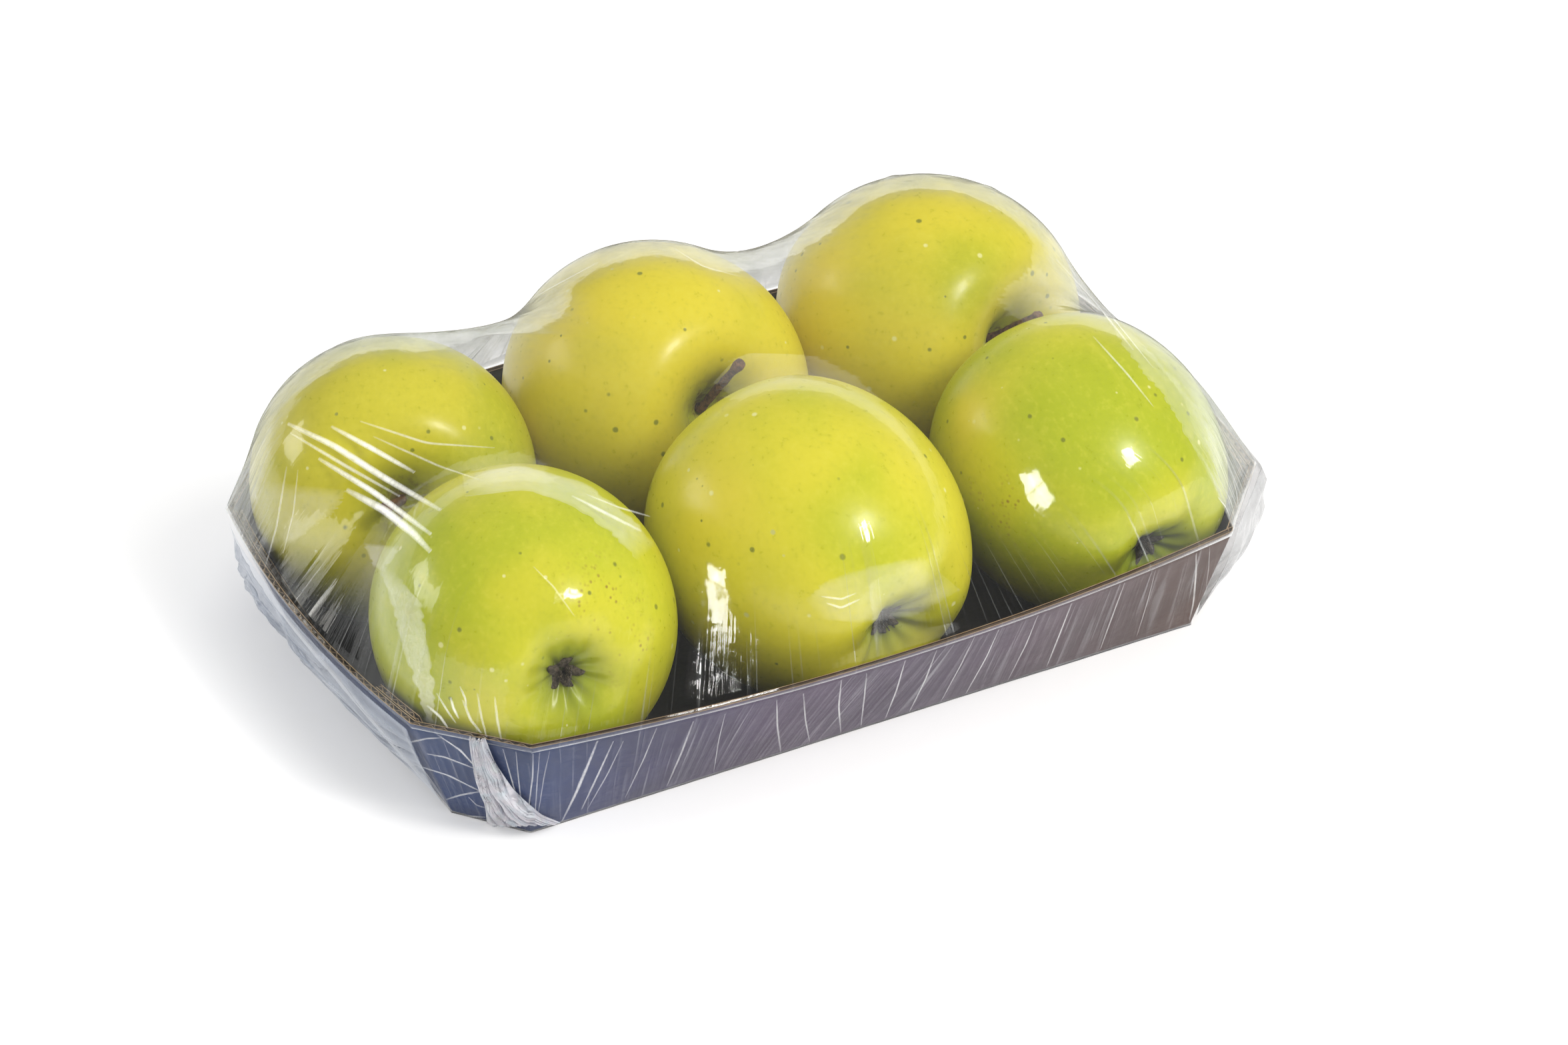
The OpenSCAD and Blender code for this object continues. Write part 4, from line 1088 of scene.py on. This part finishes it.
def make_gather(mats):
    """The bunch of film drawn together at the front left foot, in deep folds that lean over."""
    rows, cols = 44, 260
    left = along([(704, 1103), (713, 1150), (724, 1190), (729, 1216), (731, 1238)], rows)
    right = along([(728, 1106), (742, 1142), (772, 1186), (812, 1222), (842, 1234)], rows)
    u, v = np.meshgrid(np.linspace(0, 1, cols), np.linspace(0, 1, rows))
    n = 13
    verts, faces = [], []
    for s, us in ((CORNER_FL, np.linspace(-0.2, 1, n)), (FRONT, np.linspace(0, 0.4, n))):
        first = n * n * len(verts)
        U, V = np.meshgrid(us, np.linspace(-0.1, 1.1, n))
        verts.append(wall_pt(s, U, V, -GATHER_GAP).reshape(-1, 3))
        corners = [first + r * n + c for r in range(n - 1) for c in range(n - 1)]
        faces += [(k, k + 1, k + n + 1, k + n) for k in corners]
    tree = tree_of(np.concatenate(verts), faces)
    rng = np.random.RandomState(3)
    phase = 10 * math.pi * (u + 0.05 * noise_field(u.shape, (3, 8), rng))
    phase = phase + 2.5 * noise_field(u.shape, (4, 5), rng)
    big = np.abs(np.sin(phase)) ** 0.7
    small = np.abs(np.sin(3.3 * phase + 3 * noise_field(u.shape, (6, 9), rng)))
    grow = np.sin(math.pi * np.clip(v * 0.92 + 0.05, 0, 1)) ** 0.5
    rim = np.clip(np.minimum(u, 1 - u) * 8, 0.05, 1)
    tall = 0.1 + grow * rim * (2.1 * big + 0.7 * small)
    px = lerp(left[:, None], right[:, None], u[..., None])
    px[..., 0] += 4.0 * np.cos(phase) * grow * rim
    grid = np.zeros(u.shape + (3,))
    spot = None
    for r in range(rows):
        for c in range(cols):
            spot = seen(tree, *px[r, c]) or spot
            grid[r, c] = spot[0] + spot[1] * tall[r, c]
    grid[..., 2] = np.maximum(grid[..., 2], 0.3)
    fade = (0.35 + 0.65 * big) * (0.45 + 0.55 * np.clip(v * 2.2, 0, 1))
    return film_piece("film_gather_bunch", grid[::-1], mats, "film_gather", fade=fade[::-1])


def loose_grid(places, vs, out):
    """Outer points of loose film over places along the sides and heights, by how far it stands out."""
    grid = np.zeros((len(vs), len(places), 3))
    for c, (side, u) in enumerate(places):
        grid[:, c] = wall_pt(side, u, vs, -LOOSE_GAP - out[:, c])
    return grid[::-1]


def make_tail(mats):
    """The loop of film that hangs outside the front right corner."""
    rng = np.random.RandomState(21)
    places = [(CORNER_FR, u) for u in np.linspace(0.12, 0.98, 40)]
    places += [(RIGHT, u) for u in np.linspace(0.01, 0.2, 30)]
    shape = 44, len(places)
    c = np.linspace(0, 1, shape[1])
    vs = np.linspace(0.99, 0.04, shape[0])
    t = (0.99 - vs) / 0.95
    across = np.sin(math.pi * np.clip(c, 0.02, 0.98)) ** 0.55
    down = np.interp(t, [0, 0.12, 0.4, 0.62, 0.85, 1], [0.1, 0.55, 0.95, 1.0, 0.5, 0.05])
    folds = np.abs(noise_field(shape, (2, 9), rng)) * 1.3
    folds = folds + 0.25 * np.abs(noise_field(shape, (4, 26), rng))
    swell = 5.2 + 0.8 * noise_field(shape, (3, 3), rng)
    out = down[:, None] * across * swell + folds * down[:, None] * across
    fade = 0.35 + 0.65 * (np.abs(noise_field(shape, (3, 16), rng)) ** 2)
    grid = loose_grid(places, vs, out)
    return film_piece("film_tail_loop", grid, mats, "film_tail_right", fade=fade[::-1])


def make_flap(mats):
    """The loose flap outside the left end wall."""
    rng = np.random.RandomState(33)
    rows, cols = 60, 130
    places = [(LEFT, u) for u in np.linspace(0.03, 0.985, cols)]
    c = np.linspace(0, 1, cols)
    vs = np.linspace(0.93, 0.04, rows)
    t = np.linspace(0, 1, rows)
    across = np.interp(c, [0, 0.08, 0.2, 0.3, 0.4, 0.55, 0.8, 1], [0.25, 0.9, 1.0, 0.6, 0.9, 0.7, 0.5, 0.15])
    down = np.sin(math.pi * np.clip(t, 0.01, 0.99)) ** 0.7
    bend = t[:, None] * 34 + 5 * noise_field((rows, cols), (2, 6), rng)
    long = np.abs(np.sin(bend * 0.42)) ** 0.6 * 1.5 + np.abs(np.sin(bend * 1.15 + 2)) * 0.45
    out = down[:, None] * across * (4.0 + long + 0.7 * noise_field((rows, cols), (3, 14), rng))
    cloud = 0.6 + 0.4 * noise_field((rows, cols), (3, 8), rng)
    fade = 0.30 + 0.7 * np.abs(np.sin(bend * 0.42)) ** 2 * cloud
    grid = loose_grid(places, vs, np.maximum(out, 0.05))
    return film_piece("film_flap_sheet", grid, mats, "film_flap_left", fade=fade[::-1])


def make_underside(mats):
    """The film under the base."""
    rng = np.random.RandomState(14)
    side, u = columns([60, 10, 40, 10, 60, 10, 40, 10])
    edge = ring_points(side, u, -0.01, -0.3)
    share = np.linspace(0, 1, 26)[1:]
    grid = edge[None] * share[:, None, None]
    waves = noise_field(grid.shape[:2], (6, 40), rng)
    waves[:, -1], waves[:, 0] = waves[:, 0], waves[:, 0]
    grid[..., 2] = 0.15 + 0.07 * waves
    b = Build()
    b.slab(grid + [0, 0, SHEET_THICK], grid, wrap=True, fan=True)
    return b.build("film_underside_sheet", mats, "tray", ["film_underside"], "film")


def make_fold(way, mats):
    """The end fold between base and underside: way is 1 at the right end and -1 at the left."""
    rng = np.random.RandomState(17 + way)
    o = outline(0.0, WALL)
    y1 = o[3][1]
    rows, cols = 30, 40
    s, t = np.linspace(0, 1, rows), np.linspace(-1, 1, cols)
    S, T = np.meshgrid(s, t, indexing="ij")
    x = o[2][0] - 0.3 - S * 45
    half = lerp(y1, y1 / 2, S) * 0.98
    z = 0.42 + 0.05 * noise_field((rows, cols), (5, 12), rng)
    grid = np.stack([way * x, T * half, z], -1)
    if way > 0:
        grid = grid[:, ::-1]
    node = "film_fold_" + ("right" if way > 0 else "left")
    return film_piece(node + "_sheet", grid, mats, node)


# The stage
def make_stage():
    """The pale floor, which curves up into a backdrop."""
    m, n, out = new_material("stage_white")
    bsdf = n.node("ShaderNodeBsdfPrincipled", {"Base Color": (0.9, 0.9, 0.9, 1), "Roughness": 0.8,
                  "Specular IOR Level": 0.1})
    seen_ray = n.node("ShaderNodeLightPath")
    shown = n.math("MAXIMUM", seen_ray.outputs["Is Camera Ray"], seen_ray.outputs["Is Glossy Ray"])
    link(n, n.math("MULTIPLY", shown, 0.31), bsdf.inputs["Emission Strength"])
    bsdf.inputs["Emission Color"].default_value = (1, 1, 1, 1)
    link(n, bsdf.outputs[0], out.inputs[0])
    size, back, high, r = 3.0, 1.6, 0.62, 0.3
    prof = [(-size, 0.0)] + [(back - r + r * math.sin(a), r - r * math.cos(a))
                             for a in np.linspace(0, math.pi / 2, 16)] + [(back, high)]
    verts = [(x, y, z) for y, z in prof for x in (-4.0, 4.0)]
    faces = [(2 * i, 2 * i + 1, 2 * i + 3, 2 * i + 2) for i in range(len(prof) - 1)]
    me = bpy.data.meshes.new("stage_sweep")
    me.from_pydata(verts, [], faces)
    me.materials.append(m)
    me.shade_smooth()
    ob = bpy.data.objects.new("stage_sweep", me)
    bpy.context.scene.collection.objects.link(ob)
    ob.rotation_euler = (0, 0, AZIMUTH)


def area_light(name, place, aim, size, power, colour=(1, 1, 1)):
    data = bpy.data.lights.new(name, "AREA")
    data.shape = "RECTANGLE"
    data.size, data.size_y = size
    data.energy = power
    data.color = colour
    ob = bpy.data.objects.new(name, data)
    bpy.context.scene.collection.objects.link(ob)
    ob.location = place
    ob.rotation_mode = "QUATERNION"
    ob.rotation_quaternion = (Vector(aim) - Vector(place)).to_track_quat("-Z", "Y")
    return ob


# The window's four panes: middle and half spread in degrees, and how far off they are in metres
WINDOW_AZIMUTH = (160, 3.4)
WINDOW_ELEVATION = (44, 2.8)
WINDOW_DISTANCE = 1.5


def make_lights():
    world = bpy.data.worlds.new("studio")
    bpy.context.scene.world = world
    world.use_nodes = True
    n = Nodes(world.node_tree)
    bg = world.node_tree.nodes["Background"]
    path = n.node("ShaderNodeLightPath")
    plain = n.math("MULTIPLY_ADD", path.outputs["Is Glossy Ray"], -0.36, 0.54)
    link(n, n.math("MAXIMUM", plain, path.outputs["Is Camera Ray"]), bg.inputs[1])
    bg.inputs[0].default_value = (1, 1, 1, 1)
    aim = Vector((0, 0, 0.04))
    warm = (1.0, 0.98, 0.95)
    for i, j in ((-1, -1), (-1, 1), (1, -1), (1, 1)):
        az = math.radians(WINDOW_AZIMUTH[0] + i * WINDOW_AZIMUTH[1])
        el = math.radians(WINDOW_ELEVATION[0] + j * WINDOW_ELEVATION[1])
        way = Vector((math.sin(az) * math.cos(el), math.cos(az) * math.cos(el), math.sin(el)))
        area_light("window", aim + way * WINDOW_DISTANCE, aim, (0.145, 0.125), 1.3, warm)
    for ob in (
        area_light("key", (0.42, -1.0, 1.15), aim, (0.8, 0.8), 10, warm),
        area_light("top", (0.1, 0.1, 1.6), aim, (0.9, 0.6), 3.5),
    ):
        ob.visible_glossy = False
    area_light("back", (-0.95, 0.75, 0.42), aim, (0.5, 0.3), 1.8, (1.0, 0.97, 0.9))


def make_camera():
    data = bpy.data.cameras.new("photo")
    data.sensor_width = 36
    data.sensor_fit = "HORIZONTAL"
    data.lens = FOCAL_PX / FRAME_PX[0] * 36
    data.clip_start, data.clip_end = 0.05, 20
    ob = bpy.data.objects.new("photo", data)
    bpy.context.scene.collection.objects.link(ob)
    rot = Matrix([CAM_RIGHT, CAM_UP, CAM_BACK]).transposed().to_4x4()
    ob.matrix_world = Matrix.Translation(Vector(CAM_PLACE * MM)) @ rot
    bpy.context.scene.camera = ob


make_camera()
make_stage()
make_lights()
make_tray()
bark = woody_material("stem_bark", (0.05, 0.022, 0.010), (0.24, 0.12, 0.05), 900.0)
sepal = woody_material("calyx_dry", (0.016, 0.013, 0.009), (0.15, 0.12, 0.085), 1100.0, rough=0.85)
pip_shell = woody_material("pip_shell", (0.05, 0.018, 0.008), (0.14, 0.06, 0.02), 400.0, rough=0.35)
for k in range(6):
    make_apple(k)
    make_stem(k, bark)
    make_calyx(k, sepal)
# Painted glints: the creases and the reflection patches get a white cover that glows, though it is no lamp
crease = film_material("film_crease_glints", 0.0, 0.2, 0.25, 0.16, fade=1.0, shade=0.68, tint=(1.0, 1.0, 0.98),
                       painted_glint=0.3)
over = film_material("film_over_fruit", 0.012, 0.26, 0.9, 0.07, pleats=0.35, grazing_sheen=0.5, tint=(0.98, 1.0, 1.0))
walls = film_material("film_down_walls", 0.0, 0.5, 0.42, 0.10, pleats=0.19)
loose = film_material("film_loose", 0.14, 0.4, 1.0, 0.12, fade=0.34, shade=0.35, tint=(0.64, 0.70, 0.80))
hanging = film_material("film_hanging", 0.22, 0.4, 0.8, 0.14, fade=0.36, shade=0.5, tint=(0.58, 0.59, 0.60))
bunched = film_material("film_bunched", 0.16, 0.5, 0.8, 0.16, fade=0.55, shade=0.40, iris=0.18)
under = film_material("film_under", 0.06, 0.4, 1.0, 0.10)
film_top = make_film_top([over, crease])
film_skirt = make_film_skirt([walls, crease])
gather = make_gather([bunched])
tail = make_tail([hanging])
flap = make_flap([loose])
underside = make_underside([under])
fold_left = make_fold(-1, [under])
fold_right = make_fold(1, [under])
for name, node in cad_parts.items():
    if name.startswith("pips_"):
        node.data.materials.clear()
        node.data.materials.append(pip_shell)

scene = bpy.context.scene
scene.view_settings.view_transform = "Standard"
scene.cycles.transparent_max_bounces = 24
